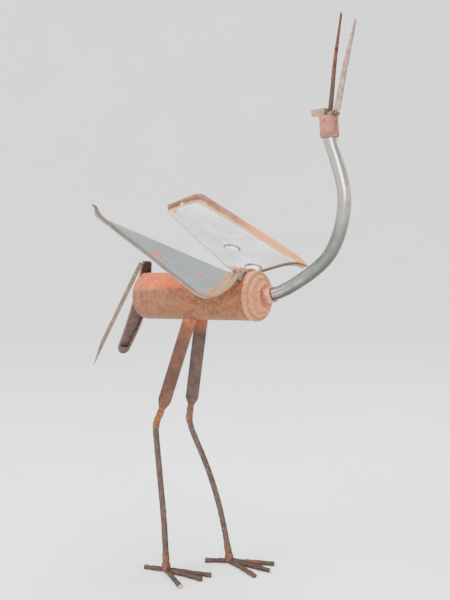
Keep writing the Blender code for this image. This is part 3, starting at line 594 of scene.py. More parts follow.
def tube_finish(colours):
    """Bare drawn tube: bright steel with long drawn lines, brown specks and dull patches; painted shade at
    the bend, painted light higher up and a painted dark reflection on the belly.
    """
    r = Recipe("bare_tube")
    run = r.value("run")
    drawn = r.noise(700.0, 4.0, 0.6, r.stretched((1.0, 1.0, 0.10)))
    patches = r.noise(38.0, 5.0, 0.6)
    specks = r.noise(330.0, 4.0, 0.65)
    tint = r.over(colours.tube_steel, patches, 0.42, 0.66, linear(130, 131, 126))
    tint = r.over(tint, specks, 0.60, 0.68, linear(96, 70, 54))
    tint = r.over(tint, r.noise(60.0, 4.0, 0.7), 0.61, 0.74, linear(124, 102, 84))
    tint = r.shade(tint, drawn, 0.85, 1.12)
    # Painted shade: the bend is painted darker.
    bend = r.times(r.ramp(run, 0.22, 0.36), r.ramp(run, 0.48, 0.64, 1.0, 0.0))
    tint = r.mix(r.times(bend, 0.75), tint, linear(112, 113, 108))
    # Painted light: the upper neck is painted lighter and warmer.
    tint = r.over(tint, run, 0.52, 0.78, linear(192, 184, 174), 0.8)
    # Painted shade: the underside is painted dark, a painted dark reflection.
    tint = r.mix(r.upward(-0.75, 0.25), linear(66, 64, 60), tint)
    shine = r.plus(r.ramp(patches, 0.4, 0.7, 0.20, 0.34), r.ramp(specks, 0.58, 0.72, 0.0, 0.25))
    normal = r.bump(specks, 0.2, 0.0003, r.bump(drawn, 0.12, 0.0003))
    return r.finish(tint, shine, r.ramp(specks, 0.62, 0.72, 0.95, 0.4), normal)


def bar_finish(name, base, rust, pale, rust_share, pale_share, metal=0.35, cut_end=None, foot=None):
    """Weathered bar: brown skin, rust patches and pale rubbed specks; a cut end, or a foot painted darker
    as painted shade, if given.
    """
    r = Recipe(name)
    patches = r.noise(46.0, 6.0, 0.65)
    grain = r.noise(480.0, 5.0, 0.7)
    tint = r.over(scaled(base, 0.62), r.noise(110.0, 5.0, 0.6), 0.35, 0.65, base)
    tint = r.over(tint, patches, rust_share, rust_share + 0.12, rust)
    tint = r.over(tint, r.noise(260.0, 3.0, 0.6), pale_share, pale_share + 0.05, pale)
    # Painted shade: the foot darkens the lower part of the bar.
    if foot:
        run = r.plus(r.value("run"), r.ramp(patches, 0.3, 0.7, -0.1, 0.1))
        tint = r.mix(r.ramp(run, 0.35, 0.60, 0.85, 0.0), tint, foot)
    if cut_end:
        tint = r.over(tint, r.value("run"), 0.965, 0.985, cut_end)
    tint = r.shade(tint, grain, 0.70, 1.28)
    normal = r.bump(patches, 0.4, 0.0012, r.bump(grain, 0.55, 0.0006))
    return r.finish(tint, r.ramp(grain, 0.3, 0.7, 0.50, 0.78), metal, normal)


def file_finish(name, base):
    """Old file: rows of fine teeth under red-brown rust, rubbed bright in places, orange at the top."""
    r = Recipe(name)
    teeth = r.add("TexWave", {"Vector": r.place, "Scale": 260.0, "Distortion": 1.5}, wave_type="BANDS",
                  bands_direction="DIAGONAL")["Fac"]
    patches = r.noise(40.0, 6.0, 0.65)
    grain = r.noise(420.0, 5.0, 0.7)
    tint = r.over(scaled(base, 0.55), patches, 0.36, 0.64, base)
    tint = r.over(tint, r.noise(70.0, 5.0, 0.6), 0.52, 0.68, linear(112, 60, 40), 0.4)
    tint = r.over(tint, r.noise(150.0, 4.0, 0.7), 0.62, 0.72, linear(114, 94, 80), 0.8)
    high = r.times(r.ramp(r.height(), 0.435, 0.480), r.ramp(patches, 0.3, 0.6, 0.35, 1.0))
    tint = r.shade(r.mix(high, tint, linear(146, 76, 40)), grain, 0.72, 1.25)
    normal = r.bump(grain, 0.5, 0.0006, r.bump(teeth, 0.25, 0.0004))
    return r.finish(tint, r.ramp(grain, 0.3, 0.7, 0.50, 0.75), 0.35, normal)


def weld_finish(colours):
    """Weld metal: lumpy, half shiny, grey-brown with rust in the hollows."""
    r = Recipe("weld_metal")
    lumps = r.noise(190.0, 5.0, 0.6)
    grain = r.noise(700.0, 4.0, 0.7)
    tint = r.over(linear(70, 56, 48), lumps, 0.38, 0.62, colours.weld_grey)
    tint = r.over(tint, r.noise(95.0), 0.52, 0.66, linear(130, 80, 58))
    tint = r.over(tint, grain, 0.62, 0.70, linear(190, 180, 168))
    normal = r.bump(grain, 0.4, 0.0004, r.bump(lumps, 0.8, 0.0016))
    return r.finish(tint, r.ramp(lumps, 0.4, 0.7, 0.62, 0.36), 0.55, normal)


def rust_weld_finish(name, tone):
    """Weld metal that has gone brown and orange with rust."""
    r = Recipe(name)
    lumps = r.noise(170.0, 5.0, 0.6)
    tint = r.over(scaled(tone, 0.5), lumps, 0.36, 0.60, tone)
    tint = r.over(tint, r.noise(110.0), 0.54, 0.66, scaled(tone, 1.7))
    return r.finish(tint, 0.66, 0.2, r.bump(lumps, 0.7, 0.0012))


# Wings


END_STEPS = 96
SIDE_STEPS = 176
CORNER_POINTS = 25
RIM_ROWS = 24
RIM_LINE = [(0.0000, 0.90), (0.0004, 0.98), (0.0018, 1.02), (0.0050, 1.03), (0.0066, 0.96), (0.0078, 0.80),
            (0.0088, 0.56), (0.0102, 0.32), (0.0125, 0.13), (0.0152, 0.03), (0.0185, 0.0)]
FLOOR_INSET = 0.03
RIM_REACH = 0.026
SKIN_REACH = 0.0060
EDGE_REACH = 0.0022
ROOT_REACH = 0.060
BODY_GAP = 0.0004
CUT_GAP = 0.0004


def crossing(first, along_first, second, along_second):
    """Where two lines in the plane meet."""
    lines = np.stack([np.asarray(along_first, float), -np.asarray(along_second, float)], 1)
    share = np.linalg.solve(lines, np.asarray(second, float) - np.asarray(first, float))
    return np.asarray(first, float) + np.asarray(along_first, float) * share[0]


def corner_arc(centre, radius, first, last):
    """Points of a corner about its centre, between two directions."""
    start, end = math.atan2(first[1], first[0]), math.atan2(last[1], last[0])
    end = end + 2.0 * math.pi if end < start else end
    turn = np.linspace(start, end, CORNER_POINTS)
    return centre + radius * np.stack([np.cos(turn), np.sin(turn)], 1)


def wing_outline(sizes, inset, lead, extra):
    """Pan outline moved inwards: up the tip edge, along the long side and down the root edge.

    Each corner is an arc about a fixed centre whose radius shrinks with the inset. The three sides meet
    in the middle of the corners and are spaced evenly.
    """
    length, root, tip = sizes.wing_length, sizes.wing_root_width, sizes.wing_tip_width
    root_corner = np.array([-extra, root + extra * (root - tip) / length])
    tip_corner = np.array([length, tip])
    side, back = unit(root_corner - tip_corner), unit(np.array([-lead, 0.0]) - root_corner)
    side_in, back_in = np.array([-side[1], side[0]]), np.array([-back[1], back[0]])
    tip_radius, root_radius = sizes.wing_corner * 0.9, sizes.wing_corner
    tip_centre = crossing([length - tip_radius, 0.0], [0.0, 1.0], tip_corner + side_in * tip_radius, side)
    root_centre = crossing(root_corner + side_in * root_radius, side, root_corner + back_in * root_radius,
                           back)
    tip_arc = corner_arc(tip_centre, tip_radius - inset, (1.0, 0.0), -side_in)
    root_arc = corner_arc(root_centre, root_radius - inset, -side_in, -back_in)
    foot = root_arc[-1] - back * root_arc[-1][1] / back[1]
    half = CORNER_POINTS // 2
    tip_edge = np.concatenate([[[length - inset, 0.0]], tip_arc[:half + 1]])
    long_side = np.concatenate([tip_arc[half:], root_arc[:half + 1]])
    root_edge = np.concatenate([root_arc[half:], foot[None]])
    return np.concatenate([resample(tip_edge, END_STEPS + 1)[0][:-1],
                           resample(long_side, SIDE_STEPS + 1)[0][:-1],
                           resample(root_edge, END_STEPS + 1)[0]])


def rim_section(sizes):
    """Inset and height along the pan's rim: rolled lip, flange, wall and fillet down to the floor."""
    line = np.array(RIM_LINE) * np.array([1.0, sizes.rim_height])
    even = resample(line, RIM_ROWS)[0]
    return even[:, 0], even[:, 1]


def wing_plan(sizes, pose):
    """Plan places, rim heights and faces of a pan half.

    Rim rows follow the outline at the rim section's insets. The floor is a patch between the innermost
    outline's three sides and the straight cut edge: point = blend across + blend along - blend of the
    corners.
    """
    insets, heights = rim_section(sizes)
    rim = np.stack([wing_outline(sizes, inset, pose["lead"], pose["reach"]) for inset in insets])
    inner = rim[-1]
    tip_edge = inner[:END_STEPS + 1]
    long_side = inner[END_STEPS:END_STEPS + SIDE_STEPS + 1][::-1]
    root_edge = inner[END_STEPS + SIDE_STEPS:][::-1]
    u = np.linspace(0.0, 1.0, SIDE_STEPS + 1)[None, :, None]
    v = np.linspace(0.0, 1.0, END_STEPS + 1)[:, None, None]
    cut = root_edge[0] * (1.0 - u) + tip_edge[0] * u
    patch = (1.0 - v) * cut + v * long_side[None] + (1.0 - u) * root_edge[:, None] + u * tip_edge[:, None]
    patch -= (1.0 - u) * ((1.0 - v) * root_edge[0] + v * root_edge[-1])
    patch -= u * ((1.0 - v) * tip_edge[0] + v * tip_edge[-1])
    columns = len(inner)
    numbers = np.arange(len(rim) * columns).reshape(len(rim), columns)
    last = numbers[-1]
    floor = np.empty((END_STEPS + 1, SIDE_STEPS + 1), dtype=np.int64)
    free = patch[:-1, 1:-1]
    floor[:-1, 1:-1] = numbers.size + np.arange(free.shape[0] * free.shape[1]).reshape(free.shape[:2])
    floor[:, -1] = last[:END_STEPS + 1]
    floor[-1] = last[END_STEPS:END_STEPS + SIDE_STEPS + 1][::-1]
    floor[:, 0] = last[END_STEPS + SIDE_STEPS:][::-1]
    faces = np.concatenate([grid_faces(numbers, False), grid_faces(floor[::-1, ::-1], False)])
    plan = np.concatenate([rim.reshape(-1, 2), free.reshape(-1, 2)])
    height = np.concatenate([np.repeat(heights, columns), np.zeros(free[..., 0].size)])
    inset = np.concatenate([np.repeat(insets, columns), np.full(free[..., 0].size, FLOOR_INSET)])
    return plan, height, inset, faces


def away_from(disc, plan):
    """How far places in the plan are from a disc's middle, in its radii."""
    return np.hypot(plan[:, 0] - disc[0], plan[:, 1] - disc[1]) / disc[2]


def wing_surface(sizes, pose, dimples, plan, height):
    """Local places of a pan half.

    Twist lifts the outer tip corner, bow swells the root end, arch and dip bend it up and down, flare
    raises the rim at the tip corner, dimples are flat round dishes, and waves give dents.
    """
    s, w = plan[:, 0], plan[:, 1]
    reach = np.clip(s / sizes.wing_length, 0.0, 1.0)
    width = sizes.wing_root_width + (sizes.wing_tip_width - sizes.wing_root_width) * reach
    twist = pose["rise"] * reach * np.clip(w / width, 0.0, None)
    across = np.clip(w / sizes.wing_root_width, 0.0, 1.0)
    bow = -pose["bow"] * np.clip(1.0 - s / BOW_FADE, 0.0, 1.0) * np.sin(math.pi * across)
    bend = pose["arch"] * np.sin(math.pi * across * across)
    bend = bend - pose["dip"] * np.clip(w / DIP_WIDTH, 0.0, 1.0)
    near_tip = np.clip((s - sizes.wing_length + FLARE_REACH) / FLARE_REACH, 0.0, 1.0)
    corner = (1.0 + pose["flare"]) * np.clip(w / FLARE_WIDTH, 0.15, 1.0) - 1.0
    share = 1.0 + near_tip * corner if pose["flare"] else 1.0
    lift = height * share + twist + bend * np.clip(1.0 - s / ARCH_FADE, 0.0, 1.0)
    for dimple in dimples:
        step = np.clip((1.0 - away_from(dimple, plan)) / DIMPLE_WALL, 0.0, 1.0)
        lift = lift - sizes.dimple_depth * step * step * (3.0 - 2.0 * step)
    place = np.stack([s + bow, pose["side"] * w, lift], -1)
    place[:, 2] += waves(place, 0.085, pose["seed"]) * sizes.dent
    return place


def turn_about(axis, angle):
    """Rotation matrix about x (0), y (1) or z (2)."""
    cos, sin = math.cos(angle), math.sin(angle)
    first, second = [(1, 2), (2, 0), (0, 1)][axis]
    matrix = np.eye(3)
    matrix[first, first] = matrix[second, second] = cos
    matrix[first, second], matrix[second, first] = -sin, sin
    return matrix


BODY_REAR = (-0.1345, 0.0, 0.4969)
BODY_LENGTH = 0.2575
REAR_DISH = 0.0020
FRONT_FROM = 0.845
BODY_PITCH = math.radians(5.4)
BOSS_PITCH = math.radians(19.0)
SLEEVE_LEAN = math.radians(5.0)
BODY_WAY = np.array([math.cos(BODY_PITCH), 0.0, math.sin(BODY_PITCH)])
BODY_UP = np.array([-math.sin(BODY_PITCH), 0.0, math.cos(BODY_PITCH)])
BOSS_WAY = (math.cos(BOSS_PITCH), 0.0, math.sin(BOSS_PITCH))
SLEEVE_WAY = np.array([-math.sin(SLEEVE_LEAN), 0.0, math.cos(SLEEVE_LEAN)])
BODY_SIDE_RADIUS = 0.0430
BOSS_RADIUS = 0.0143
SLEEVE_RADIUS = 0.0158
STAND = turned_place("body", BODY_WAY)[0] + BODY_WAY * REAR_DISH - np.array(BODY_REAR)
BODY_START = np.array(BODY_REAR) + STAND
WING_POSES = {
    "wing_right": {"side": 1, "sweep": 20.7, "climb": 21.2, "droop": 8.0, "rise": 0.024, "bow": 0.010,
                   "lead": 0.004, "reach": 0.0, "arch": 0.0, "dip": 0.0, "flare": 0.6, "seed": 3,
                   "foot": -0.004, "root": (0.0784, -0.0069, 0.5542)},
    "wing_left": {"side": -1, "sweep": 28.0, "climb": 16.3, "droop": 7.0, "rise": 0.033, "bow": -0.004,
                  "lead": 0.045, "reach": 0.012, "arch": 0.019, "dip": 0.010, "flare": 0.0, "seed": 8,
                  "foot": -0.030, "root": (0.0495, 0.0020, 0.5687)},
}
ARCH_FADE = 0.055
BOW_FADE = 0.090
DIP_WIDTH = 0.040
FLARE_REACH = 0.030
FLARE_WIDTH = 0.040
WING_DIMPLES = {
    "wing_right": (),
    "wing_left": ((0.0811, 0.0524, 0.0165), (0.0030, 0.0600, 0.0165)),
}
WING_SPOTS = {
    "wing_right": ((0.0495, 0.0689, 0.0075), (0.1308, 0.0728, 0.0110), (0.120, 0.0800, 0.0080)),
    "wing_left": ((-0.020, 0.020, 0.030), (0.000, 0.038, 0.012), (0.255, 0.012, 0.006)),
}
DIMPLE_WALL = 0.36
TIP_HOLE_RADIUS = 0.0022
TIP_HOLE_PLACE = 0.028
TIP_WALL_REACH = 0.020
WALL_INSETS = (0.0066, 0.0120)


def body_clear(points, gap):
    """Points pushed out of the body's cylinder by the gap."""
    off = points - BODY_START
    run = off @ BODY_WAY
    out = off - run[:, None] * BODY_WAY
    far = np.linalg.norm(out, axis=1)
    clear = BODY_SIDE_RADIUS + gap
    push = np.where(far < clear, clear / np.maximum(far, 1e-6), 1.0)
    return BODY_START + run[:, None] * BODY_WAY + out * push[:, None]


def wing_turn(pose):
    """Turn from a wing's own directions to the bird's."""
    turn = turn_about(2, math.pi + pose["side"] * math.radians(pose["sweep"]))
    turn = turn @ turn_about(1, -math.radians(pose["climb"]))
    return turn @ turn_about(0, -pose["side"] * math.radians(pose["droop"]))


def open_hole(plan, height, inset, sizes):
    """Spreads the points of the tip wall round a hole through it; returns which points the hole takes."""
    insets, heights = rim_section(sizes)
    wall = (plan[:, 0] > sizes.wing_length - TIP_WALL_REACH) & (plan[:, 1] < sizes.wing_tip_width * 0.7)
    wall &= (inset > WALL_INSETS[0]) & (inset < WALL_INSETS[1])
    across = plan[:, 1] - TIP_HOLE_PLACE
    up = height - sizes.rim_height / 2.0
    far = np.maximum(np.hypot(across, up), 1e-6)
    moved = wall & (far < 2.0 * TIP_HOLE_RADIUS)
    scale = np.where(moved, (TIP_HOLE_RADIUS + far / 2.0) / far, 1.0)
    top = int(heights.argmax())
    height = np.where(moved, np.clip(sizes.rim_height / 2.0 + up * scale, 0.0, heights.max()), height)
    inset = np.where(moved, np.interp(height, heights[top:][::-1], insets[top:][::-1]), inset)
    plan = np.stack([np.where(moved, sizes.wing_length - inset, plan[:, 0]),
                     np.where(moved, TIP_HOLE_PLACE + across * scale, plan[:, 1])], 1)
    return plan, height, inset, wall & (far < 0.35 * TIP_HOLE_RADIUS)


def make_wing(node, sizes, material):
    """Half of a pressed pan: the wing surface over its plan, with tip hole, middle cut and thickness."""
    pose = WING_POSES[node]
    plan, height, inset, faces = wing_plan(sizes, pose)
    plan, height, inset, gone = open_hole(plan, height, inset, sizes)
    faces = faces[~gone[faces].any(1)]
    local = wing_surface(sizes, pose, WING_DIMPLES[node], plan, height)
    turn, root = wing_turn(pose), np.array(pose["root"]) + STAND
    world = body_clear(local @ turn.T + root, sizes.sheet + BODY_GAP)
    spot, dimple_wall_shade = np.zeros(len(plan)), np.zeros(len(plan))
    for disc in WING_SPOTS[node]:
        spot = np.maximum(spot, np.clip(1.4 - away_from(disc, plan), 0.0, 1.0))
    # Painted shade: a ring on each dimple's wall.
    for disc in WING_DIMPLES[node]:
        dimple_wall_shade = np.maximum(dimple_wall_shade, np.exp(-((away_from(disc, plan) - 0.90) / 0.12) ** 2))
    values = {
        "rim": np.clip(1.0 - inset / RIM_REACH, 0.0, 1.0),
        "out": np.clip(1.0 - inset / SKIN_REACH, 0.0, 1.0),
        "edge": np.clip(1.0 - plan[:, 1] / EDGE_REACH, 0.0, 1.0),
        "root": np.clip(1.0 - (plan[:, 0] - pose["foot"]) / ROOT_REACH, 0.0, 1.0),
        "tip": np.clip(plan[:, 0] / sizes.wing_length, 0.0, 1.0),
        "spot": spot,
        "dimple_wall_shade": dimple_wall_shade,
    }
    piece = mesh_piece(node + "_pan", world, faces.tolist(), values)
    if normal_up(piece) < 0.0:
        piece.data.flip_normals()
    cut = bmesh.new()
    cut.from_mesh(piece.data)
    side = pose["side"]
    bmesh.ops.bisect_plane(cut, geom=cut.verts[:] + cut.edges[:] + cut.faces[:], dist=1e-6,
                           plane_co=(0.0, STAND[1] - side * CUT_GAP, 0.0), plane_no=(0.0, side, 0.0),
                           clear_outer=True)
    bmesh.ops.delete(cut, geom=[vert for vert in cut.verts if not vert.link_faces], context="VERTS")
    cut.to_mesh(piece.data)
    cut.free()
    shell = piece.modifiers.new("Sheet", "SOLIDIFY")
    shell.thickness = sizes.sheet
    shell.offset = -1.0
    return dress(piece, material, node)


def normal_up(piece):
    """Mean upward part of a surface's face directions."""
    normals = np.empty(len(piece.data.polygons) * 3)
    piece.data.polygons.foreach_get("normal", normals)
    return normals.reshape(-1, 3)[:, 2].mean()


class BIRD_OT_wings(Operator):
    """Press both pan halves, with rims, dimples and old dents"""

    bl_idname = "bird.wings"
    bl_label = "Wings"

    def execute(self, context):
        sizes, colours = context.scene.bird_sizes, context.scene.bird_colours
        # The right wing's rim skin is partly painted shade.
        skin = colours.lip_grey_shaded
        # The right wing's tones are a darker copy of the left wing's: painted shade.
        near = sheet_finish("wing_right_shaded_sheet", {
            "floor": colours.pan_shaded_sheet, "shade": linear(116, 124, 127), "lip": skin, "far_lip": skin,
            "skin": skin, "fillet": linear(130, 124, 110), "patch": linear(146, 84, 28),
            "foot": linear(132, 94, 56),
        })
        # The left wing's tones are the lit copy: painted light.
        far = sheet_finish("wing_left_lit_sheet", {
            "floor": colours.pan_lit_sheet, "shade": linear(178, 181, 181), "lip": colours.lip_orange,
            "far_lip": linear(132, 80, 58), "skin": linear(112, 64, 48), "fillet": linear(164, 134, 92),
            # The left wing's foot tone is painted shade on the rim's root end.
            "patch": linear(166, 118, 94), "foot": linear(64, 53, 45),
        })
        make_wing("wing_right", sizes, near)
        make_wing("wing_left", sizes, far)
        return {"FINISHED"}


# Body and boss


BODY_COLUMNS = 160
REAR_EDGE = 0.010
REAR_FACE = [(0.0015, -0.0018), (0.0120, -0.0014)]
BEAD_RISE = 0.0014
BEAD_WIDTH = 0.0095
BEAD_BACK = 0.0110
FRONT_LIP = [(0.0006, -0.0004), (0.0022, 0.0004), (0.0040, 0.0002), (0.0050, -0.0004), (0.0060, 0.0006)]
FRONT_FACE = [
    (0.0352, 0.0030), (0.0345, 0.0052), (0.0335, 0.0066), (0.0318, 0.0072), (0.0300, 0.0068),
    (0.0285, 0.0062), (0.0265, 0.0070), (0.0245, 0.0088), (0.0232, 0.0110), (0.0222, 0.0126),
    (0.0205, 0.0131), (0.0188, 0.0126), (0.0172, 0.0118), (0.0150, 0.0120), (0.0080, 0.0128),
]


def body_profile(length, radius):
    """Radius and height from the rear axis to the front: rounded rear, seam, bead and stepped front.

    The rear edge is a quarter circle and the bead half a sine wave. The lip is measured in from the
    radius, and the front's steps from the axis.
    """
    turn = np.linspace(-math.pi / 2.0, 0.0, 14)
    rear = np.stack([radius - REAR_EDGE + REAR_EDGE * np.cos(turn),
                     REAR_EDGE + REAR_EDGE * np.sin(turn)], 1)
    seam = [(radius, 0.0165), (radius - 0.0006, 0.0175), (radius - 0.0006, 0.0180), (radius, 0.0190)]
    side = np.stack([np.full(60, radius), np.linspace(0.022, length - 0.0125, 60)], 1)
    turn = np.linspace(0.0, math.pi, 12)
    bead = np.stack([radius + BEAD_RISE * np.sin(turn),
                     length - BEAD_BACK + BEAD_WIDTH * (1 - np.cos(turn)) / 2], 1)
    lip = np.array([radius, length]) + np.array(FRONT_LIP) * np.array([-1.0, 1.0])
    face = np.array(FRONT_FACE) + np.array([0.0, length])
    profile = np.concatenate([REAR_FACE, rear, seam, side, bead, lip, face])
    return profile[:, 0], profile[:, 1]


class BIRD_OT_body(Operator):
    """Turn the rusted cylinder with its bead and stepped front, and the boss on it"""

    bl_idname = "bird.body"
    bl_label = "Body and boss"

    def execute(self, context):
        colours = context.scene.bird_colours
        radii, heights = body_profile(BODY_LENGTH, BODY_SIDE_RADIUS)
        body = lathed("body_cylinder", BODY_START, BODY_WAY, radii, heights, BODY_COLUMNS, SMALL_WAVES,
                      0.05, 11)
        dress(body, body_finish(colours), "body")
        start, direction, length = turned_place("neck_boss", BOSS_WAY)
        radii = np.append(np.array([0.93, 1.0, 1.0, 0.97, 0.90, 0.88]) * BOSS_RADIUS, POLE_RADIUS)
        heights = np.array([0.0, 0.08, 0.70, 0.86, 0.97, 1.0, 1.0]) * length
        boss = lathed("neck_boss_turned", start, direction, radii, heights, TURNED_COLUMNS, SMALL_WAVES,
                      0.012, 12)
        dress(boss, pink_finish("boss_rust", linear(208, 124, 92)), "neck_boss")
        return {"FINISHED"}


# Neck and head


class BIRD_OT_neck(Operator):
    """Bend the bare tube of the neck along its solid's middle line"""

    bl_idname = "bird.neck"
    bl_label = "Neck"

    def execute(self, context):
        path, wide, thick = follow_bar("neck", (0.95, 0.0, 0.32), 0.003, 0.02, ACROSS)
        top = turned_place("head_sleeve", SLEEVE_WAY)[0]
        path = softened(path, 7)
        path = path[path[:, 2] < top[2] - 0.016]
        path = np.concatenate([path, top + SLEEVE_WAY * np.array([[-0.004], [0.002]])])
        path = softened(resample(path, 220)[0], 9)
        radius = np.full(len(path), np.median(np.maximum(wide, thick)))
        neck = round_bar("neck_tube", path, radius, ACROSS, 48, 0.00012, 0.03, 21)
        dress(neck, tube_finish(context.scene.bird_colours), "neck")
        return {"FINISHED"}


def bar_piece(node, name, along, face, material, reach, rows, rough, pitch, seed, edge=None,
              end_round=0.0):
    """A worn bar read from its CAD node and swept again with rounded edges."""
    read = follow_bar(node, along, 0.002, reach, face)
    path, wide, thick = (softened(values, 9) for values in read)
    path, wide, thick = resample(path, rows, wide, thick)
    worn = thick if edge is None else np.full(rows, edge)
    piece = swept(name, path, wide, thick, worn, face, BAR_COLUMNS, rough, pitch, seed, end_round)
    return dress(piece, material, node)


class BIRD_OT_head(Operator):
    """Make the sleeve and the two beak blades"""

    bl_idname = "bird.head"
    bl_label = "Head"

    def execute(self, context):
        sizes, colours = context.scene.bird_sizes, context.scene.bird_colours
        start, direction, length = turned_place("head_sleeve", SLEEVE_WAY)
        heights = np.array([0.0, 0.02, 0.06, 0.30, 0.70, 0.95, 0.99, 1.0, 1.0]) * length
        radii = SLEEVE_RADIUS * np.array([0.80, 0.93, 0.99, 1.0, 0.99, 0.985, 0.95, 0.80, 0.1])
        sleeve = lathed("head_sleeve_turned", start, direction, radii, heights, TURNED_COLUMNS, SMALL_WAVES,
                        0.012, 31)
        dress(sleeve, pink_finish("sleeve_rust", colours.rust_pink), "head_sleeve")
        # Partly painted shade: the back blade's rust is painted darker as its shaded side, darkest at the
        # foot.
        back = bar_finish("blade_rust_and_shade", linear(50, 32, 24), linear(98, 50, 30), linear(112, 84, 68), 0.46,
                          0.68, foot=linear(62, 46, 38))
        front = bar_finish("blade_tan", colours.blade_tan, linear(122, 86, 68), linear(196, 182, 170),
                           0.60, 0.60, 0.45)
        blades = (("beak_back", "beak_rust", 0.1, back, 32), ("beak_front", "beak_tan", 0.2, front, 33))
        for node, slot, lean, skin, seed in blades:
            bar_piece(node, node + "_blade", (lean, 0.0, 1.0), ACROSS, skin, 0.02, 140, 0.00025,
                      0.012, seed, sizes.edge_round, 0.003)
        return {"FINISHED"}


# Legs


ANKLES = {"right": (-0.0825, -0.0544), "left": (-0.0092, 0.0476)}
TOE_RADIUS = 0.0048
TOE_SINK = 0.0006
TOE_ROWS = 90
TOE_WORN_END = 0.0020
BACK_TOE_WORN_END = 0.0035


class BIRD_OT_legs(Operator):
    """Make the file thighs, the bent shins and the toes"""

    bl_idname = "bird.legs"
    bl_label = "Legs and feet"

    def execute(self, context):
        sizes, colours = context.scene.bird_sizes, context.scene.bird_colours
        for number, side in enumerate(("right", "left")):
            node = "thigh_" + side
            base = linear(90, 56, 42) if side == "right" else linear(75, 58, 51)
            worn_copy(node, node + "_file", file_finish(node + "_steel", base), sizes.edge_round)
            node = "shin_" + side
            pale_share = 0.64 if side == "left" else 0.68
            skin = bar_finish(node + "_steel", colours.bar_brown, linear(116, 66, 42),
                              linear(170, 158, 146), 0.56, pale_share)
            bar_piece(node, node + "_bar", SHIN_WAY, LEG_FACE, skin, 0.012, 220, 0.00028, 0.010,
                      44 + number)
        for number, node in enumerate(sorted(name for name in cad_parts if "_toe_" in name)):
            low, high = (np.array(corner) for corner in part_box(node))
            middle = (low + high) / 2.0
            foot = ANKLES[node.split("_")[0]]
            way = np.array([middle[0] - foot[0], middle[1] - foot[1], 0.0])
            cut_end = linear(188, 176, 162) if node in ("right_toe_outer", "left_toe_middle") else None
            skin = bar_finish(node + "_steel", colours.toe_brown, linear(106, 60, 40),
                              linear(132, 116, 102), 0.52, 0.68, cut_end=cut_end)
            toe_piece(node, way, skin, 50 + number)
        return {"FINISHED"}


def toe_piece(node, way, material, seed):
    """A toe: round bar read from its node, knobbly, with its under side kept on the ground."""
    path = softened(follow_bar(node, way, 0.0015, 0.012, UP)[0], 9)
    path[-1] += unit(path[-1] - path[-4]) * (BACK_TOE_WORN_END if "back" in node else TOE_WORN_END)
    path, = resample(path, TOE_ROWS)
    share = np.linspace(0.0, 1.0, TOE_ROWS)
    knobs = 0.07 * np.sin(share * 9.0 + seed) + 0.04 * np.sin(share * 23.0 + 2.0 * seed)
    radius = np.full(TOE_ROWS, TOE_RADIUS) * (0.97 + knobs)
    path[:, 2] = TOE_RADIUS - TOE_SINK
    piece = round_bar(node + "_bar", path, radius, UP, BAR_COLUMNS, 0.00045, 0.010, seed, 0.0012)
    points = mesh_points(piece.data)
    points[:, 2] = np.maximum(points[:, 2], 0.0)
    piece.data.vertices.foreach_set("co", points.ravel())
    return dress(piece, material, node)


# Pieces that keep their solids, with worn edges


def worn_copy(node, name, material, edge):
    """A merged copy of a CAD node with small rounded edges."""
    points = node_triangles(node).reshape(-1, 3)
    whole, index = np.unique(np.round(points, 6), axis=0, return_inverse=True)
    mesh = bpy.data.meshes.new(name)
    mesh.from_pydata(whole.tolist(), [], index.reshape(-1, 3).tolist())
    mesh.validate()
    piece = bpy.data.objects.new(name, mesh)
    bpy.context.scene.collection.objects.link(piece)
    worn = piece.modifiers.new("Worn", "BEVEL")
    worn.width = edge
    worn.segments = 2
    worn.limit_method = "ANGLE"
    worn.angle_limit = math.radians(40.0)
    worn.use_clamp_overlap = True
    return dress(piece, material, node)


class BIRD_OT_tail(Operator):
    """Give the tail channels and the crest stub their worn edges and brown skin"""

    bl_idname = "bird.tail"
    bl_label = "Tail and crest"

    def execute(self, context):
        edge = context.scene.bird_sizes.edge_round * 0.7
        light = bar_finish("tail_right_steel", linear(122, 101, 84), linear(112, 72, 52),
                           linear(160, 144, 128), 0.58, 0.62)
        dark = bar_finish("tail_left_steel", linear(89, 67, 59), linear(100, 62, 46), linear(94, 96, 104),
                          0.56, 0.64)
        stub = bar_finish("crest_steel", linear(158, 126, 98), linear(120, 76, 54), linear(190, 168, 146),
                          0.58, 0.60)
        worn_copy("tail_right", "tail_right_channel", light, edge)
        worn_copy("tail_left", "tail_left_channel", dark, edge)
        worn_copy("crest", "crest_channel", stub, edge * 0.6)
        return {"FINISHED"}


# Welds


WELD_FACE = -ACROSS
KNEE_ROWS = 22
KNEE_PLACES = [0.0, 0.15, 0.45, 0.8, 1.0]
KNEE_RADII = [0.0058, 0.0068, 0.0066, 0.0070, 0.0061]
ANKLE_RISES = np.array([0.034, 0.026, 0.018, 0.010, 0.003, -0.004, -0.008])
ANKLE_RADII = np.array([0.0058, 0.0064, 0.0068, 0.0074, 0.0086, 0.0094, 0.0080])
ANKLE_LOWEST = 0.0022
WELD_END_ROUND = 0.003
HEAD_SEAT = [(-0.006, -0.002, -0.001), (0.002, -0.003, 0.001), (0.009, -0.002, 0.001), (0.012, 0.001, 0.0)]
RING_SIDE = [0.12, 0.9, 0.3]
RING_TURN = math.radians(356.0)
WING_WELDS = (
    ("right", 0.0112, 0.0062, [(0.229, 10.0, 0.001), (0.2315, 26.0, 0.001), (0.2320, 42.0, 0.001),
                               (0.2305, 60.0, 0.001)]),
    ("drip", 0.0052, 0.0046, [(0.223, 48.0, 0.003), (0.2275, 54.0, 0.003), (0.232, 60.0, 0.002)]),
    ("left", 0.0058, 0.0042, [(0.212, -6.0, 0.002), (0.222, -4.0, 0.002), (0.236, -6.0, 0.0015),
                              (0.250, -10.0, 0.001)]),
    ("middle", 0.0052, 0.0040, [(0.205, 4.0, 0.001), (0.215, 2.0, 0.0015), (0.226, 4.0, 0.0015)]),
)
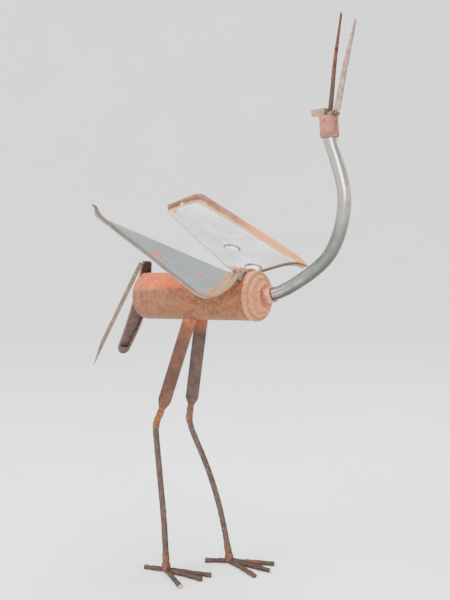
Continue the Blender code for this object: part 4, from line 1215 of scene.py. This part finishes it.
TAIL_SEAT = [(-0.001, -0.014, -0.003), (-0.002, 0.0, 0.0), (-0.001, 0.014, -0.003)]


def ring_weld(name, centre, axis, radius, wide, high, seed, metal):
    """A bead nearly all the way round a joint: point = centre + radius * (cos a * side + sin a * other)."""
    side = unit(np.cross(axis, RING_SIDE))
    angle = np.linspace(0.0, RING_TURN, 60)[:, None]
    path = centre + radius * (np.cos(angle) * side + np.sin(angle) * np.cross(axis, side))
    lay_weld(name, path, wide, high, axis, seed, metal)


def on_body(places):
    """Points on the body from run along it, degrees from its top towards the bird's right, and lift."""
    run, turn, lift = np.array(places).T[..., None]
    turn = np.radians(turn)
    out = BODY_UP * np.cos(turn) + WELD_FACE * np.sin(turn)
    return BODY_START + BODY_WAY * run + (BODY_SIDE_RADIUS + lift) * out


class BIRD_OT_welds(Operator):
    """Lay the weld beads that hold the pieces together"""

    bl_idname = "bird.welds"
    bl_label = "Welds"

    def execute(self, context):
        grey = weld_finish(context.scene.bird_colours)
        rusty = rust_weld_finish("rusted_weld", linear(148, 86, 60))
        brown = rust_weld_finish("brown_weld", linear(100, 64, 46))
        golden = rust_weld_finish("golden_weld", linear(122, 68, 28))
        low = {name: np.array(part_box(name)[0]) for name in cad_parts}
        high = {name: np.array(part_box(name)[1]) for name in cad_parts}
        self.leg_welds(golden, brown)
        self.head_welds(grey, rusty, low["head_sleeve"], high["head_sleeve"])
        self.wing_welds(grey, rusty)
        self.tail_and_thigh_welds(rusty, high)
        return {"FINISHED"}

    def leg_welds(self, golden, brown):
        for number, side in enumerate(("right", "left")):
            path = follow_bar("shin_" + side, SHIN_WAY, 0.002, 0.012)[0]
            radii = np.interp(np.linspace(0.0, 1.0, KNEE_ROWS), KNEE_PLACES, KNEE_RADII)
            knee = round_bar("knee_weld_" + side, path[:KNEE_ROWS], radii, WELD_FACE, WELD_COLUMNS, 0.0005,
                             0.009, 60 + number, WELD_END_ROUND)
            dress(knee, golden if side == "right" else brown)
            rise = path[-1][2] + ANKLE_RISES
            cone = np.stack([np.interp(rise, path[::-1, 2], path[::-1, axis]) for axis in (0, 1)]
                            + [np.maximum(rise, ANKLE_LOWEST)], 1)
            cone, radii = resample(cone, 40, ANKLE_RADII)
            ankle = round_bar("ankle_weld_" + side, cone, radii, WELD_FACE, WELD_COLUMNS, 0.0007, 0.011,
                              62 + number, WELD_END_ROUND)
            dress(ankle, brown)

    def head_welds(self, grey, rusty, low, high):
        seat = np.array([(low[0] + high[0]) / 2.0 + 0.004, STAND[1], high[2] + 0.0005]) + HEAD_SEAT
        lay_weld("head_weld_front", seat, 0.0046, 0.0036, WELD_FACE, 66, grey)
        seat = seat + ACROSS * 0.007
        lay_weld("head_weld_back", seat, 0.0042, 0.0032, WELD_FACE, 67, grey)
        start, direction, length = turned_place("head_sleeve", SLEEVE_WAY)
        ring_weld("sleeve_weld", start + direction * 0.001, direction, SLEEVE_RADIUS * 0.84, 0.0022, 0.0020,
                  65, grey)
        start, direction, length = turned_place("neck_boss", BOSS_WAY)
        ring_weld("boss_weld", start, direction, BOSS_RADIUS, 0.0022, 0.0018, 68, rusty)
        ring_weld("neck_weld", start + direction * length, direction, BOSS_RADIUS * 0.86, 0.0016, 0.0014,
                  69, grey)

    def wing_welds(self, grey, rusty):
        for number, (name, wide, high, places) in enumerate(WING_WELDS):
            face, metal = (WELD_FACE + BODY_UP, grey) if number < 2 else (BODY_UP, rusty)
            lay_weld("wing_weld_" + name, on_body(places), wide, high, face, 70 + number, metal)

    def tail_and_thigh_welds(self, rusty, high):
        seat = BODY_START + BODY_WAY * 0.004 + BODY_UP * (BODY_SIDE_RADIUS - 0.004) + TAIL_SEAT
        lay_weld("tail_weld", seat, 0.0040, 0.0032, (-1.0, 0.0, 0.6), 74, rusty)
        for number, (side, out) in enumerate((("right", WELD_FACE), ("left", ACROSS))):
            points = node_points("thigh_" + side)
            top = points[points[:, 2] > high["thigh_" + side][2] - 0.012]
            first, last = top[top[:, 0].argmin()], top[top[:, 0].argmax()]
            path = np.stack([first, (first + last) / 2.0, last]) + out * 0.0025 - UP * 0.001
            lay_weld("thigh_weld_" + side, path, 0.0036, 0.0026, out, 75 + number, rusty)


# Stage


VIEW_AZIMUTH = 35.0
VIEW_ELEVATION = 10.0
VIEW_LENS = 66.0
VIEW_PLACE = (1.15158, -1.57560, 0.84634)
SKY_STRENGTH = 0.74
FLOOR_REACH = 2.2
FLOOR_RISE = 1.6
FLOOR_COLUMNS = 90
FLOOR_DROP = 0.0002
LIGHT_AIM = np.array([0.0, 0.0, 0.5])
STAGE_LIGHTS = (
    ("key_light", (-1.4, -1.7, 2.3), 1.6, 118.0),
    ("front_light", (1.6, -1.9, 1.3), 1.4, 56.0),
    ("top_light", (0.1, 0.2, 2.8), 1.8, 84.0),
    ("rear_light", (0.8, 1.7, 1.9), 1.2, 34.0),
)


def floor_dish():
    """A flat floor that curves up all round, from a square grid drawn out to a disc.

    Point = way from the middle * reach; past the flat part the reach and the height follow a quarter
    circle: reach = flat + rise * sin of the turn, height = rise * (1 - cos of the turn).
    """
    line = np.linspace(-1.0, 1.0, FLOOR_COLUMNS)
    first, second = np.meshgrid(line, line, indexing="ij")
    way = np.stack([first, second], 2) / np.hypot(first, second)[..., None]
    travel = np.maximum(np.abs(first), np.abs(second)) * (FLOOR_REACH + FLOOR_RISE)
    turn = np.clip((travel - FLOOR_REACH) / FLOOR_RISE, 0.0, 1.0) * math.pi / 2.0
    reach = np.minimum(travel, FLOOR_REACH) + FLOOR_RISE * np.sin(turn)
    height = FLOOR_RISE * (1.0 - np.cos(turn)) - FLOOR_DROP
    floor = make_mesh("pale_sweep", np.concatenate([way * reach[..., None], height[..., None]], 2), False)
    if normal_up(floor) < 0.0:
        floor.data.flip_normals()
    return floor


class BIRD_OT_stage(Operator):
    """Set out the pale floor, the soft lights and the camera"""

    bl_idname = "bird.stage"
    bl_label = "Stage"

    def execute(self, context):
        colours = context.scene.bird_colours
        azimuth, elevation = math.radians(VIEW_AZIMUTH), math.radians(VIEW_ELEVATION)
        back = np.array([math.sin(azimuth) * math.cos(elevation), -math.cos(azimuth) * math.cos(elevation),
                         math.sin(elevation)])
        r = Recipe("pale_floor")
        tint = r.over(colours.floor_pale, r.noise(3.0, 3.0, 0.5), 0.3, 0.7, linear(238, 239, 239))
        floor = floor_dish()
        floor.data.materials.append(r.finish(tint, 0.9, 0.0))
        for name, place, width, power in STAGE_LIGHTS:
            lamp = bpy.data.lights.new(name, "AREA")
            lamp.shape = "DISK"
            lamp.size = width
            lamp.energy = power
            lit = bpy.data.objects.new(name, lamp)
            lit.location = place
            lit.rotation_euler = direction_euler(LIGHT_AIM - np.array(place))
            context.scene.collection.objects.link(lit)
        world = bpy.data.worlds.new("soft_sky")
        world.use_nodes = True
        world.node_tree.nodes["Background"].inputs["Color"].default_value = (1.0, 1.0, 1.0, 1.0)
        world.node_tree.nodes["Background"].inputs["Strength"].default_value = SKY_STRENGTH
        context.scene.world = world
        lens = bpy.data.cameras.new("photo_view")
        lens.sensor_width = 36.0
        lens.sensor_fit = "AUTO"
        lens.lens = VIEW_LENS
        camera = bpy.data.objects.new("photo_view", lens)
        camera.location = np.array(VIEW_PLACE) + STAND
        camera.rotation_euler = direction_euler(-back)
        context.scene.collection.objects.link(camera)
        context.scene.camera = camera
        return {"FINISHED"}


def direction_euler(way):
    """Turn that points an object's -Z along a direction with its Y up."""
    way = unit(way)
    pitch = math.acos(max(-1.0, min(1.0, -way[2])))
    return (pitch, 0.0, math.atan2(way[1], way[0]) - math.pi / 2.0)


class BIRD_PT_panel(Panel):
    """Lists the steps that build the bird"""

    bl_label = "Metal Bird"
    bl_idname = "BIRD_PT_panel"
    bl_space_type = "VIEW_3D"
    bl_region_type = "UI"
    bl_category = "Metal Bird"

    def draw(self, context):
        for step in STEPS:
            self.layout.operator(step.bl_idname)


STEPS = (BIRD_OT_wings, BIRD_OT_body, BIRD_OT_neck, BIRD_OT_head, BIRD_OT_legs, BIRD_OT_tail,
         BIRD_OT_welds, BIRD_OT_stage)
CLASSES = (BirdSizes, BirdColours, *STEPS, BIRD_PT_panel)


def register():
    for each in CLASSES:
        bpy.utils.register_class(each)
    bpy.types.Scene.bird_sizes = PointerProperty(type=BirdSizes)
    bpy.types.Scene.bird_colours = PointerProperty(type=BirdColours)


def unregister():
    del bpy.types.Scene.bird_colours
    del bpy.types.Scene.bird_sizes
    for each in reversed(CLASSES):
        bpy.utils.unregister_class(each)


def main():
    register()
    bpy.ops.bird.wings()
    bpy.ops.bird.body()
    bpy.ops.bird.neck()
    bpy.ops.bird.head()
    bpy.ops.bird.legs()
    bpy.ops.bird.tail()
    bpy.ops.bird.welds()
    bpy.ops.bird.stage()


if __name__ == "__main__":
    main()
